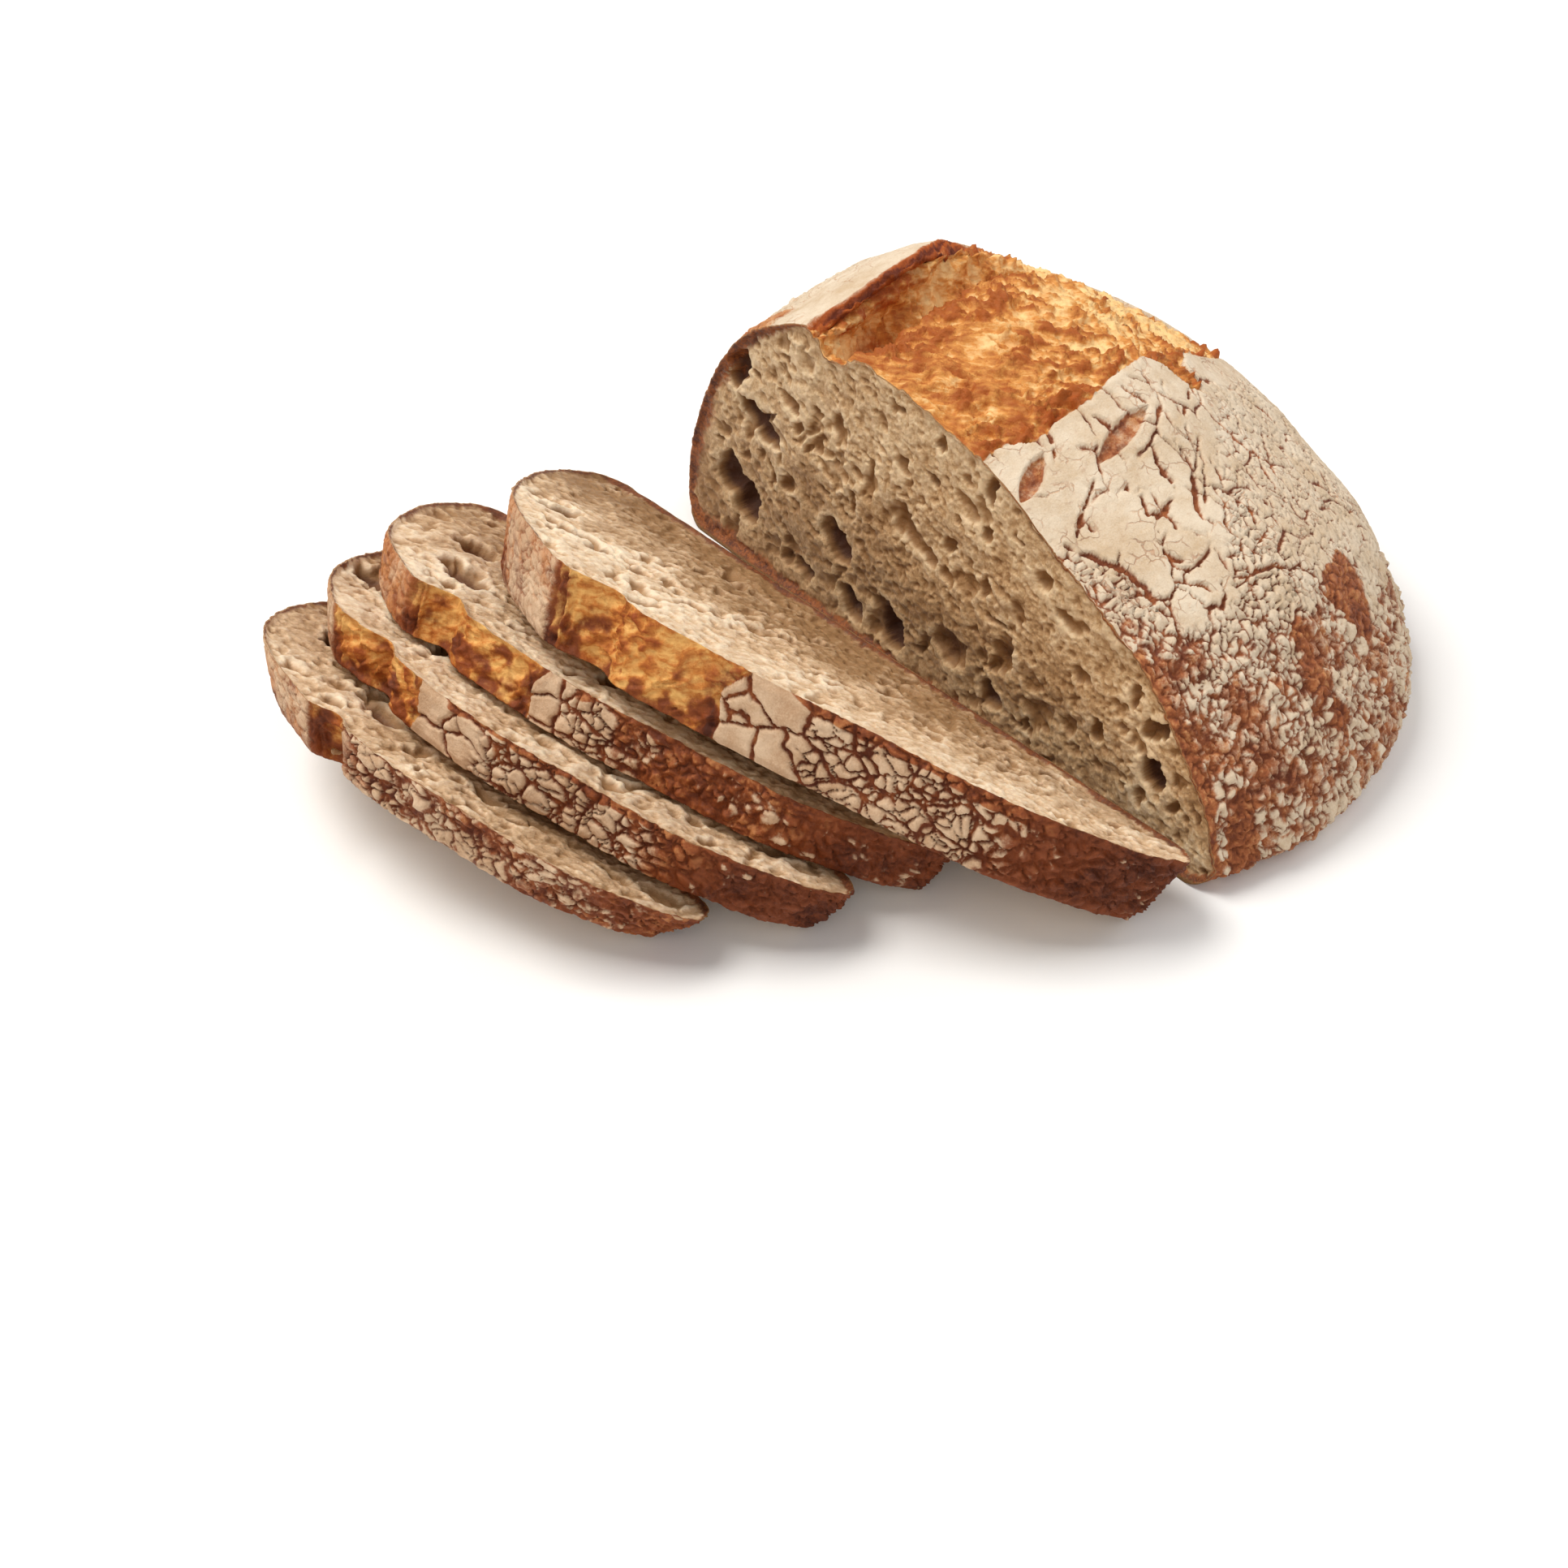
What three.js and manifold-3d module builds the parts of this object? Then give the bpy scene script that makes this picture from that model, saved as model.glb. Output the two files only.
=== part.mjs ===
// A sourdough loaf cut through the middle: the half that still stands, and four slices
// that have fallen over beside it like dominoes.
//
// Millimetres, +Z up. X runs along the loaf: the heel is at +X and the slices lie at -X.
// Y runs across the loaf, with the raised ear of the crust at +Y.
// Everything is built about the middle of the cut face's bottom edge, and the whole group
// is then moved so that its origin is the centre of the bottom of its bounding box.

import * as THREE from 'three';
import { mergeVertices } from 'three/addons/utils/BufferGeometryUtils.js';
import Module from 'manifold-3d';

const wasm = await Module();
wasm.setup();

// ---------------------------------------------------------------- driving dimensions

const HALF_WIDTH = 103; // half the width of the cut face
const HEEL_LENGTH = 129; // from the cut face to the tip of the heel
const BELLY_SWELL = 1.045; // how much wider the loaf gets behind the cut
const WAIST_HEIGHT = 8; // height of the widest line of the crust
const UNDERSIDE_INSET = 9; // how far the flat underside lies inside the widest line
const LIP_RISE = 5.2; // how far the lip of the ear stands up where it is widest open
const LIP_OVERHANG = 5; // how far the lip leans over the hollow
const HOLLOW_DEPTH = 12; // how deep the hollow beneath the lip is
const PLATE_SIZE = 15; // size of the floured plates between the cracks
const RING_STEPS = 44; // points across the crust
const STATION_STEPS = 46; // rows from the cut face to the heel
const SKIRT_STEPS = 3; // steps round the bottom edge
const SLICE_STEPS = 4; // rows across the crust of a slice
const SEED = 7;

// The uncut crust line, right to left: across the loaf, then up.
const CRUST_LINE = [
  [-HALF_WIDTH, WAIST_HEIGHT],
  [-98, 22],
  [-88, 35],
  [-74, 49.5],
  [-56, 59.5],
  [-40, 66.5],
  [-26, 74],
  [-8, 80],
  [12, 83.5],
  [30, 85],
  [45, 84],
  [62, 79.5],
  [78, 69],
  [92, 49],
  [101, 25],
  [HALF_WIDTH, WAIST_HEIGHT],
];

// The burst along the top: the raised lip of the ear, the foot of the hollow beneath it,
// and the line where the torn golden crust ends and the floured crust begins.
const LOAF_BURST = { ear: 0.42, lip: 51, foot: 40, border: -24, crest: 0 };

// Each slice: tilt from upright, turn about the vertical and roll, in degrees; the middle
// of its bottom edge; its thickness; the size of its two faces against the cut face of
// the loaf; and its own lines of the burst.
const SLICES = {
  slice_1: {
    tilt: 59.7, turn: 0, roll: 1.9, at: [-102.4, 28.1, 12.9], thick: 12.6,
    face: [0.72, 0.638], back: [0.61, 0.575],
    burst: { ear: 0.25, lip: 26, foot: 16, border: 10, crest: 0 },
    holes: [[47, 25, 11, 7], [31, 22, 6, 5], [17, 36, 10, 5], [-20, 30, 5, 4]],
  },
  slice_2: {
    tilt: 60.2, turn: 1.3, roll: 1.7, at: [-73.7, 23.7, 14.3], thick: 13.8,
    face: [0.823, 0.756], back: [0.758, 0.71],
    burst: { ear: 0.38, lip: 58, foot: 34, border: 12, crest: 0 },
    holes: [[66, 38, 9, 6], [44, 42, 14, 5], [10, 30, 5, 4], [-30, 24, 6, 4]],
  },
  slice_3: {
    tilt: 60.4, turn: 5.8, roll: 4.2, at: [-50.9, 23.7, 17.8], thick: 14,
    face: [0.86, 0.797], back: [0.818, 0.78],
    burst: { ear: 0.42, lip: 50, foot: 37, border: -3, crest: 0 },
    holes: [[62, 29, 8, 7], [47, 47, 9, 6], [20, 40, 4, 4], [-20, 30, 5, 4]],
  },
  slice_4: {
    tilt: 58.5, turn: 7.4, roll: 4.6, at: [-20.2, -5.6, 24.4], thick: 19.6,
    face: [0.975, 0.907], back: [0.912, 0.866],
    burst: { ear: 0.42, lip: 41, foot: 25, border: -12, crest: 9 },
    holes: [[56, 56, 5, 4], [38, 17, 7, 6], [12, 40, 5, 4], [-35, 28, 5, 4]],
  },
};

// The larger holes in the crumb of the cut face: across, up, half width, half height.
const CUT_HOLES = [
  [81, 21, 9, 9],
  [75, 45, 5, 9],
  [84, 58, 4, 5],
  [37, 58, 5, 12],
  [39, 23, 7, 7],
  [15, 11, 7, 7],
  [6, 50, 5, 7],
  [-25, 12, 5, 5],
  [-29, 48, 5, 4],
  [-49, 48, 5, 4],
  [56, 9, 7, 3],
  [-80, 21, 7, 4],
];

// ---------------------------------------------------------------- small mathematics

const { lerp, smoothstep, degToRad } = THREE.MathUtils;

/** A bell of height one about a middle. */
function bell(value, middle, spread) {
  return Math.exp(-(((value - middle) / spread) ** 2));
}

/** A repeatable draw between zero and one for a whole-number cell. */
function draw(column, row, salt) {
  const mixed = Math.sin(column * 127.1 + row * 311.7 + salt * 74.7 + SEED) * 43758.5453;
  return mixed - Math.floor(mixed);
}

/** Distance from the nearest seam between irregular plates, in the units of the inputs. */
function seamDistance(across, along, plate) {
  const column = Math.floor(across / plate);
  const row = Math.floor(along / plate);
  let nearest = Infinity;
  let second = Infinity;
  for (let stepColumn = -1; stepColumn <= 1; stepColumn += 1) {
    for (let stepRow = -1; stepRow <= 1; stepRow += 1) {
      const cellColumn = column + stepColumn;
      const cellRow = row + stepRow;
      const centreAcross = (cellColumn + draw(cellColumn, cellRow, 1)) * plate;
      const centreAlong = (cellRow + draw(cellColumn, cellRow, 2)) * plate;
      const distance = Math.hypot(across - centreAcross, along - centreAlong);
      second = Math.min(second, Math.max(nearest, distance));
      nearest = Math.min(nearest, distance);
    }
  }
  return (second - nearest) / 2;
}

// ---------------------------------------------------------------- the form of the crust

const crustCurve = new THREE.CatmullRomCurve3(
  CRUST_LINE.map(([across, up]) => new THREE.Vector3(0, across, up)),
);
const CRUST_POINTS = crustCurve.getSpacedPoints(RING_STEPS);

/** How far out the plan of the loaf reaches along X, from one at the cut to zero at the heel. */
function planWidth(along) {
  const straight = 14;
  const power = 2.2;
  const swellLength = 36;
  const reach = Math.max(0, (along - straight) / (HEEL_LENGTH - straight));
  const quarter = Math.min(1, along / swellLength) * (Math.PI / 2);
  const swell = lerp(1, BELLY_SWELL, Math.sin(quarter));
  return swell * (1 - reach ** power) ** (1 / power);
}

/** Height of the crust against its height at the cut: it swells a little, then falls. */
function crownHeight(along) {
  const level = 28.5;
  const power = 2.08;
  const swellLength = 96;
  const swellHeight = 0.097;
  const reach = Math.max(0, (along - level) / (HEEL_LENGTH - level));
  const swell = 1 + swellHeight * Math.sin(Math.PI * Math.min(1, along / swellLength)) ** 2;
  return swell * (1 - reach ** power) ** (1 / power);
}

/** How strongly the ear stands open at a place along the loaf, from zero to one. */
function earStrength(along) {
  const opening = lerp(LOAF_BURST.ear, 1, smoothstep(along, 0, 16));
  return opening * (1 - smoothstep(along, 34, 84));
}

/** Low relief of the crust, outwards: flour plates, torn golden strands and a rough rest. */
function crustRelief(across, along, border) {
  const zigzag = 4 * Math.sin(along / 5.5) + 2.5 * Math.sin(along / 2.3 + 1);
  const floured = smoothstep(border + zigzag - across, -1.5, 1.5);
  const plates = 1.1 * smoothstep(seamDistance(across, along, PLATE_SIZE), 0, 1.7) - 0.2;
  const strands = 0.5 * Math.sin(along / 2.6 + Math.sin(across / 7)) + 0.4 * Math.sin(across / 3.1);
  return lerp(strands, plates, floured);
}

/**
 * One point of the crust. `step` counts across the crust from right to left, `scale` is
 * the width and height against the cut face, and `along` places it for its relief.
 */
function crustPoint(step, scale, along, ear, burst) {
  const edge = CRUST_POINTS[step];
  const across = edge.y;
  const rise = edge.z - WAIST_HEIGHT;
  const lipRise = LIP_RISE * bell(across, burst.lip, 8) * ear;
  const overhang = LIP_OVERHANG * bell(across, burst.lip, 6) * ear;
  const hollow = HOLLOW_DEPTH * bell(across, burst.foot, 6.5) * ear;
  const crest = burst.crest * bell(across, 26, 34);

  // The relief stands square to the crust and dies out at the waist and at the heel.
  const fromWaist = Math.min(step, RING_STEPS - step) / RING_STEPS;
  const fade = smoothstep(fromWaist, 0, 0.09) * smoothstep(scale[0], 0.1, 0.6);
  const relief = fade * crustRelief(across, along, burst.border);
  const lean = Math.atan2(rise, Math.abs(across) * 0.6);
  return [
    across * scale[0] - overhang + relief * Math.sign(across) * Math.cos(lean),
    WAIST_HEIGHT + (rise + crest) * scale[1] + lipRise - hollow + relief * Math.sin(lean),
  ];
}

// ---------------------------------------------------------------- solids from patches

/** Collects triangles of one closed surface. */
class Shell {
  constructor() {
    this.positions = [];
    this.triangles = [];
  }

  point(x, y, z) {
    this.positions.push(x, y, z);
    return this.positions.length / 3 - 1;
  }

  quad(a, b, c, d) {
    this.triangles.push(a, b, c, a, c, d);
  }

  /** A flat face on a closed outline, turned so that its normal runs along `facing`. */
  flat(outline, facing) {
    const dropped = facing.x ? 0 : 2;
    const kept = [0, 1, 2].filter((axis) => axis !== dropped);
    const place = (index) => this.positions.slice(3 * index, 3 * index + 3);
    const contour = outline.map((index) => {
      const where = place(index);
      return new THREE.Vector2(where[kept[0]], where[kept[1]]);
    });
    for (const face of THREE.ShapeUtils.triangulateShape(contour, [])) {
      const [a, b, c] = face.map((corner) => outline[corner]);
      const [va, vb, vc] = [a, b, c].map((index) => new THREE.Vector3(...place(index)));
      const normal = vb.sub(va).cross(vc.sub(va));
      const outward = normal.dot(facing) > 0;
      this.triangles.push(...(outward ? [a, b, c] : [a, c, b]));
    }
  }

  geometry() {
    const geometry = new THREE.BufferGeometry();
    geometry.setAttribute('position', new THREE.Float32BufferAttribute(this.positions, 3));
    geometry.setIndex(this.triangles);
    return geometry;
  }
}

/** A closed geometry as a solid for joining and cutting. */
function solidOf(geometry) {
  const bare = geometry.clone();
  bare.deleteAttribute('normal');
  bare.deleteAttribute('uv');
  const merged = mergeVertices(bare, 1e-4);
  return new wasm.Manifold(new wasm.Mesh({
    numProp: 3,
    vertProperties: new Float32Array(merged.attributes.position.array),
    triVerts: new Uint32Array(merged.index.array),
  }));
}

/** A cut solid as a geometry again. */
function geometryOf(solid) {
  const mesh = solid.getMesh();
  const geometry = new THREE.BufferGeometry();
  geometry.setAttribute('position', new THREE.BufferAttribute(mesh.vertProperties, 3));
  geometry.setIndex(new THREE.BufferAttribute(mesh.triVerts, 1));
  geometry.computeVertexNormals();
  return geometry;
}

/** Opens the crumb's holes in a face at x = 0; `inward` is the way into the bread. */
function openHoles(geometry, holes, inward, scale) {
  let solid = solidOf(geometry);
  holes.forEach(([across, up, halfWidth, halfHeight], index) => {
    const bubble = new THREE.SphereGeometry(1, 9, 6);
    const depth = scale * Math.min(halfWidth, halfHeight) * lerp(0.8, 1.2, draw(index, 3, 5));
    bubble.rotateX(draw(index, 5, 6));
    bubble.scale(depth, halfWidth, halfHeight);
    bubble.translate(inward * 0.15 * depth, across, up);
    solid = solid.subtract(solidOf(bubble));
  });
  return geometryOf(solid);
}

// ---------------------------------------------------------------- the standing half

/** Plan normals of an open contour in the XY plane, square to the cut at both ends. */
function planNormals(contour) {
  return contour.map((here, index) => {
    const before = contour[Math.max(0, index - 1)];
    const after = contour[Math.min(contour.length - 1, index + 1)];
    if (index === 0) return new THREE.Vector2(0, -1);
    if (index === contour.length - 1) return new THREE.Vector2(0, 1);
    return new THREE.Vector2(after[1] - before[1], before[0] - after[0]).normalize();
  });
}

function makeLoaf() {
  const shell = new Shell();
  const rows = [];
  for (let station = 0; station < STATION_STEPS; station += 1) {
    const along = HEEL_LENGTH * (1 - (1 - station / STATION_STEPS) ** 1.7);
    const scale = [planWidth(along), crownHeight(along)];
    const ear = earStrength(along);
    const row = [];
    for (let step = 0; step <= RING_STEPS; step += 1) {
      row.push(shell.point(along, ...crustPoint(step, scale, along, ear, LOAF_BURST)));
    }
    rows.push(row);
  }
  const tip = shell.point(HEEL_LENGTH, 0, WAIST_HEIGHT);
  for (let station = 0; station < STATION_STEPS - 1; station += 1) {
    const [here, next] = [rows[station], rows[station + 1]];
    for (let step = 0; step < RING_STEPS; step += 1) {
      shell.quad(here[step], next[step], next[step + 1], here[step + 1]);
    }
  }
  const last = rows[STATION_STEPS - 1];
  for (let step = 0; step < RING_STEPS; step += 1) {
    shell.triangles.push(last[step], tip, last[step + 1]);
  }

  // The bottom edge rolls under, and the underside is flat.
  const waist = [...rows.map((row) => row[0]), tip, ...rows.map((row) => row[RING_STEPS]).reverse()];
  const plan = waist.map((index) => [shell.positions[3 * index], shell.positions[3 * index + 1]]);
  const normals = planNormals(plan);
  let upper = waist;
  const skirts = [waist];
  for (let step = 1; step <= SKIRT_STEPS; step += 1) {
    const angle = (step / SKIRT_STEPS) * (Math.PI / 2);
    const inset = UNDERSIDE_INSET * (1 - Math.cos(angle));
    const height = step === SKIRT_STEPS ? 0 : WAIST_HEIGHT * (1 - Math.sin(angle));
    const lower = plan.map(([x, y], index) => shell.point(
      x - normals[index].x * inset,
      y - normals[index].y * inset,
      height,
    ));
    for (let index = 0; index < lower.length - 1; index += 1) {
      shell.quad(upper[index], lower[index], lower[index + 1], upper[index + 1]);
    }
    skirts.push(lower);
    upper = lower;
  }
  shell.flat(upper, new THREE.Vector3(0, 0, -1));

  const leftCorner = skirts.slice(1).map((skirt) => skirt[skirt.length - 1]);
  const rightCorner = skirts.slice(1).map((skirt) => skirt[0]).reverse();
  shell.flat([...rows[0], ...leftCorner, ...rightCorner], new THREE.Vector3(-1, 0, 0));
  return openHoles(shell.geometry(), CUT_HOLES, 1, 1);
}

// ---------------------------------------------------------------- a fallen slice

function makeSlice({ thick, face, back, burst, holes }, salt) {
  const shell = new Shell();
  const rings = [];
  for (let row = 0; row <= SLICE_STEPS; row += 1) {
    const share = row / SLICE_STEPS;
    const scale = [lerp(face[0], back[0], share), lerp(face[1], back[1], share)];
    const along = -thick * share;
    const ring = [];
    for (let step = 0; step <= RING_STEPS; step += 1) {
      const [y, z] = crustPoint(step, scale, along + salt * 31, burst.ear, burst);
      ring.push(shell.point(along, y, z));
    }
    for (const side of [1, -1]) {
      const corner = [];
      for (let step = 1; step <= SKIRT_STEPS; step += 1) {
        const angle = (step / SKIRT_STEPS) * (Math.PI / 2);
        const inset = UNDERSIDE_INSET * (1 - Math.cos(angle));
        const height = WAIST_HEIGHT * (1 - Math.sin(angle));
        corner.push([side * (HALF_WIDTH * scale[0] - inset), height]);
      }
      if (side < 0) corner.reverse();
      ring.push(...corner.map(([y, z]) => shell.point(along, y, z)));
    }
    rings.push(ring);
  }
  for (let row = 0; row < SLICE_STEPS; row += 1) {
    const [front, rear] = [rings[row], rings[row + 1]];
    front.forEach((here, index) => {
      const next = (index + 1) % front.length;
      shell.quad(here, front[next], rear[next], rear[index]);
    });
  }
  shell.flat(rings[0], new THREE.Vector3(1, 0, 0));
  shell.flat(rings[SLICE_STEPS], new THREE.Vector3(-1, 0, 0));
  return openHoles(shell.geometry(), holes, -1, 0.75);
}

// ---------------------------------------------------------------- the whole

const crumb = () => new THREE.MeshStandardMaterial({ color: '#cdbb9c', roughness: 0.9, metalness: 0 });

const spread = new THREE.Group();

const loaf = new THREE.Mesh(
  makeLoaf(),
  new THREE.MeshStandardMaterial({ color: '#b98a58', roughness: 0.85, metalness: 0 }),
);
loaf.name = 'loaf';
spread.add(loaf);

Object.entries(SLICES).forEach(([name, slice], index) => {
  const mesh = new THREE.Mesh(makeSlice(slice, index + 1), crumb());
  mesh.name = name;
  mesh.position.set(...slice.at);
  mesh.rotation.set(degToRad(slice.roll), degToRad(-slice.tilt), degToRad(slice.turn), 'ZXY');
  spread.add(mesh);
});

const box = new THREE.Box3().setFromObject(spread, true);
const middle = box.getCenter(new THREE.Vector3());
spread.position.set(-middle.x, -middle.y, -box.min.z);

const group = new THREE.Group();
group.add(spread);

export default group;
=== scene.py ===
"""A sourdough loaf cut through the middle: a standing half and four slices fallen over beside it.

The bread is worked out in millimetres about the middle of the cut face's bottom edge, with X
along the loaf towards the heel, Y across it towards the raised ear, and Z up. It is then moved
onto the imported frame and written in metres.
"""

from __future__ import annotations

import logging
import math
from collections.abc import Iterable, Mapping, Sequence
from dataclasses import dataclass, field, fields
from enum import Enum, IntEnum

import bpy
import numpy as np
from mathutils import Matrix, Vector
from mathutils.geometry import delaunay_2d_cdt

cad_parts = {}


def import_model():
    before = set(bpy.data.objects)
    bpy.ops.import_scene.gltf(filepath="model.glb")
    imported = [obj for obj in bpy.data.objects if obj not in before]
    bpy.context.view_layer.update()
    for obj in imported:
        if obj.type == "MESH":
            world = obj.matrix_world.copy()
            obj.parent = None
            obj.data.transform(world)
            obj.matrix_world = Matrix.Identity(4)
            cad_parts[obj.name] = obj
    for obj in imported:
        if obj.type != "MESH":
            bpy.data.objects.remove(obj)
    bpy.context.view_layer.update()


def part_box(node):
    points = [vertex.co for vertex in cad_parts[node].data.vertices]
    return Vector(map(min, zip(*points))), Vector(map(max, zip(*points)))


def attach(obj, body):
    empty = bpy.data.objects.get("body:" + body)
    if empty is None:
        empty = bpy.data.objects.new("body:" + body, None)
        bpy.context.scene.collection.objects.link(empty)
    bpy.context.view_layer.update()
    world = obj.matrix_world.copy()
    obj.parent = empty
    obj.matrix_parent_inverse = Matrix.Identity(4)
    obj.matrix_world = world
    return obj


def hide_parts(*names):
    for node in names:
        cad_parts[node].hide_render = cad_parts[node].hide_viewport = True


MM = 0.001
ROOT = "root"
SEED = 7

# Millimetres from point to point on the half's crust, on its cut face, and on the slices.
CRUST_SPACING = 0.46
CRUMB_SPACING = 0.38
SLICE_SPACING = 0.44

# Points that lie in the same cell of this many to a millimetre are one point.
WELD_CELLS = 2000.0

Array = np.ndarray
Line = tuple[tuple[float, float], ...]
Triple = tuple[float, float, float]
Foam = tuple[tuple[float, float, float, float], ...]
Colour = tuple[float, ...]

log = logging.getLogger("bread")


# ---------------------------------------------------------------------------- small mathematics


def clamp(value: Array | float) -> Array:
    """The value, kept between zero and one."""
    return np.clip(value, 0.0, 1.0)


def smooth(value: Array | float, low: float, high: float) -> Array:
    """Zero up to low, one from high on, and an even rise between them."""
    share = clamp((np.asarray(value, float) - low) / (high - low))
    return share * share * (3.0 - 2.0 * share)


def fade(value: Array | float, low: float, high: float) -> Array:
    """One up to low, zero from high on, and an even fall between them."""
    return 1.0 - smooth(value, low, high)


def bell(value: Array, middle: Array | float, spread: float) -> Array:
    """A bell of height one about a middle."""
    return np.exp(-(((value - middle) / spread) ** 2))


def blend(low: Array | float, high: Array | float, share: Array | float) -> Array:
    """What lies between low and high at a share from zero to one."""
    return low + (high - low) * share


def unit(vectors: Array) -> Array:
    """The vectors at length one."""
    return vectors / np.maximum(np.linalg.norm(vectors, axis=-1, keepdims=True), 1e-9)


def distances(line: Array) -> Array:
    """How far along a line each of its points lies."""
    return np.append(0.0, np.cumsum(np.linalg.norm(np.diff(line, axis=0), axis=1)))


def line_at(line: Array, reached: Array, wanted: Array) -> Array:
    """Points of a flat line, from how far along it its own points and the wanted ones lie."""
    return np.stack([np.interp(wanted, reached, line[:, axis]) for axis in range(2)], -1)


def cell_corners(grid: Array) -> list[Array]:
    """The four corners of each cell of a grid, in their order round the cell."""
    return [grid[:-1, :-1], grid[1:, :-1], grid[1:, 1:], grid[:-1, 1:]]


def read_off(raster: Array, place: Array) -> Array:
    """Reads a raster between its points.

    Args:
        raster: Numbers, rows by columns.
        place: Column and row of each wanted place, as fractions.

    Returns:
        One number for each place.
    """
    corner = np.floor(place).astype(int)
    column, row = corner.T
    part = place - corner
    below = blend(raster[row, column], raster[row, column + 1], part[:, 0])
    above = blend(raster[row + 1, column], raster[row + 1, column + 1], part[:, 0])
    return blend(below, above, part[:, 1])


def srgb(red: float, green: float, blue: float) -> Colour:
    """Turns a screen colour into the linear colour that a shader takes.

    Args:
        red: Its red, with 255 as full.
        green: Its green.
        blue: Its blue.

    Returns:
        Linear red, green and blue, and one for its cover.
    """
    shares = (part / 255 for part in (red, green, blue))
    linear = (s / 12.92 if s <= 0.04045 else ((s + 0.055) / 1.055) ** 2.4 for s in shares)
    return (*linear, 1.0)


@dataclass(frozen=True)
class Grain:
    """Repeatable noise through the bread, alike at each run."""

    seed: int = SEED
    axis_primes: tuple[int, ...] = (73856093, 19349663, 83492791)
    seed_primes: tuple[int, ...] = (2654435761, 40503)
    scramblers: tuple[int, ...] = (2246822519, 3266489917)

    def draw(self, cells: Array, salt: int) -> Array:
        """Draws one number for each whole-number cell.

        Args:
            cells: Whole numbers, three to a row.
            salt: Tells one set of draws from another.

        Returns:
            One number from zero to one for each row.
        """
        keys = cells.astype(np.int64).astype(np.uint64) * np.array(self.axis_primes, np.uint64)
        own = np.uint64(self.seed * self.seed_primes[0] + salt * self.seed_primes[1])
        low_bits = np.uint64(0xFFFFFFFF)
        mixed = (keys[..., 0] ^ keys[..., 1] ^ keys[..., 2] ^ own) & low_bits
        for scrambler in self.scramblers:
            mixed ^= mixed >> np.uint64(15)
            mixed = (mixed * np.uint64(scrambler)) & low_bits
        mixed ^= mixed >> np.uint64(16)
        return mixed.astype(float) / 2.0**32

    def swell(self, places: Array, size: float, salt: int) -> Array:
        """Smooth noise from minus one to one.

        Args:
            places: Points in millimetres, three to a row.
            size: Width of one lump, in millimetres.
            salt: Tells one noise from another.

        Returns:
            One number for each point.
        """
        scaled = places / size
        low = np.floor(scaled)
        part = scaled - low
        part = part * part * part * (part * (part * 6.0 - 15.0) + 10.0)
        total = np.zeros(len(places))
        for corner in range(8):
            step = np.array([corner & 1, corner >> 1 & 1, corner >> 2 & 1], float)
            weight = np.prod(np.where(step > 0, part, 1.0 - part), axis=-1)
            total += weight * self.draw(low + step, salt)
        return total * 2.0 - 1.0

    def layers(self, places: Array, size: float, count: int, salt: int) -> Array:
        """Smooth noise in several layers, each half as wide and half as strong as the last.

        Args:
            places: Points in millimetres, three to a row.
            size: Width of the first layer's lumps, in millimetres.
            count: Number of layers.
            salt: Tells one noise from another.

        Returns:
            One number from minus one to one for each point.
        """
        shift, fading = 17.3, 0.5
        total = np.zeros(len(places))
        strength, whole = 1.0, 0.0
        for layer in range(count):
            total += strength * self.swell(places + shift * layer, size / 2**layer, salt + layer)
            whole += strength
            strength *= fading
        return total / whole

    def crests(self, places: Array, size: float, count: int, salt: int) -> Array:
        """Sharp crests round smooth hollows, in several layers.

        Args:
            places: Points in millimetres, three to a row.
            size: Width of the first layer's hollows, in millimetres.
            count: Number of layers.
            salt: Tells one noise from another.

        Returns:
            One number from zero to one for each point.
        """
        shift, fading = 23.1, 0.6
        total = np.zeros(len(places))
        strength, whole = 1.0, 0.0
        for layer in range(count):
            crest = 1.0 - np.abs(self.swell(places + shift * layer, size / 2**layer, salt + layer))
            total += strength * crest * crest
            whole += strength
            strength *= fading
        return total / whole

    def bent(self, places: Array, size: float, amount: float, salt: int) -> Array:
        """The points pushed about by smooth noise, so that straight seams wander."""
        pushes = [self.layers(places, size, 2, salt + 11 * axis) for axis in range(3)]
        return places + amount * np.stack(pushes, -1)

    def centres(self, cells: Array, salt: int) -> Array:
        """The middle of the plate that belongs to each whole-number cell."""
        return cells + np.stack([self.draw(cells, salt + axis) for axis in range(3)], -1)

    def seams(
        self, places: Array, size: float, salt: int, normals: Array | None = None
    ) -> tuple[Array, Array]:
        """Divides space into irregular plates.

        Args:
            places: Points in millimetres, three to a row.
            size: Width of one plate, in millimetres.
            salt: Tells one division from another.
            normals: With the surface's normals, distances are taken along the surface.

        Returns:
            For each point its distance from the nearest seam, in millimetres, and a number
            from zero to one that is alike all over a plate.
        """
        scaled = places / size
        home = np.floor(scaled)
        steps = np.array([(i % 3 - 1, i // 3 % 3 - 1, i // 9 - 1) for i in range(27)], float)
        away = np.full((2, len(places)), np.inf)
        pick = np.zeros((2, len(places)), int)
        for index, step in enumerate(steps):
            found = ((scaled - self.centres(home + step, salt)) ** 2).sum(-1)
            first, second = found < away[0], found < away[1]
            away[1] = np.where(first, away[0], np.where(second, found, away[1]))
            pick[1] = np.where(first, pick[0], np.where(second, index, pick[1]))
            away[0] = np.where(first, found, away[0])
            pick[0] = np.where(first, index, pick[0])
        own = home + steps[pick[0]]
        wall = self.centres(home + steps[pick[1]], salt) - self.centres(own, salt)
        apart = np.linalg.norm(wall, axis=-1)
        gap = (away[1] - away[0]) / (2.0 * apart)
        if normals is not None:
            slope = np.sum(wall * normals, axis=-1) / apart
            gap = gap / np.sqrt(np.clip(1.0 - slope * slope, 0.03, 1.0))
        return gap * size, self.draw(own, salt + 5)


GRAIN = Grain()


# ---------------------------------------------------------------------------- meshes


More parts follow.
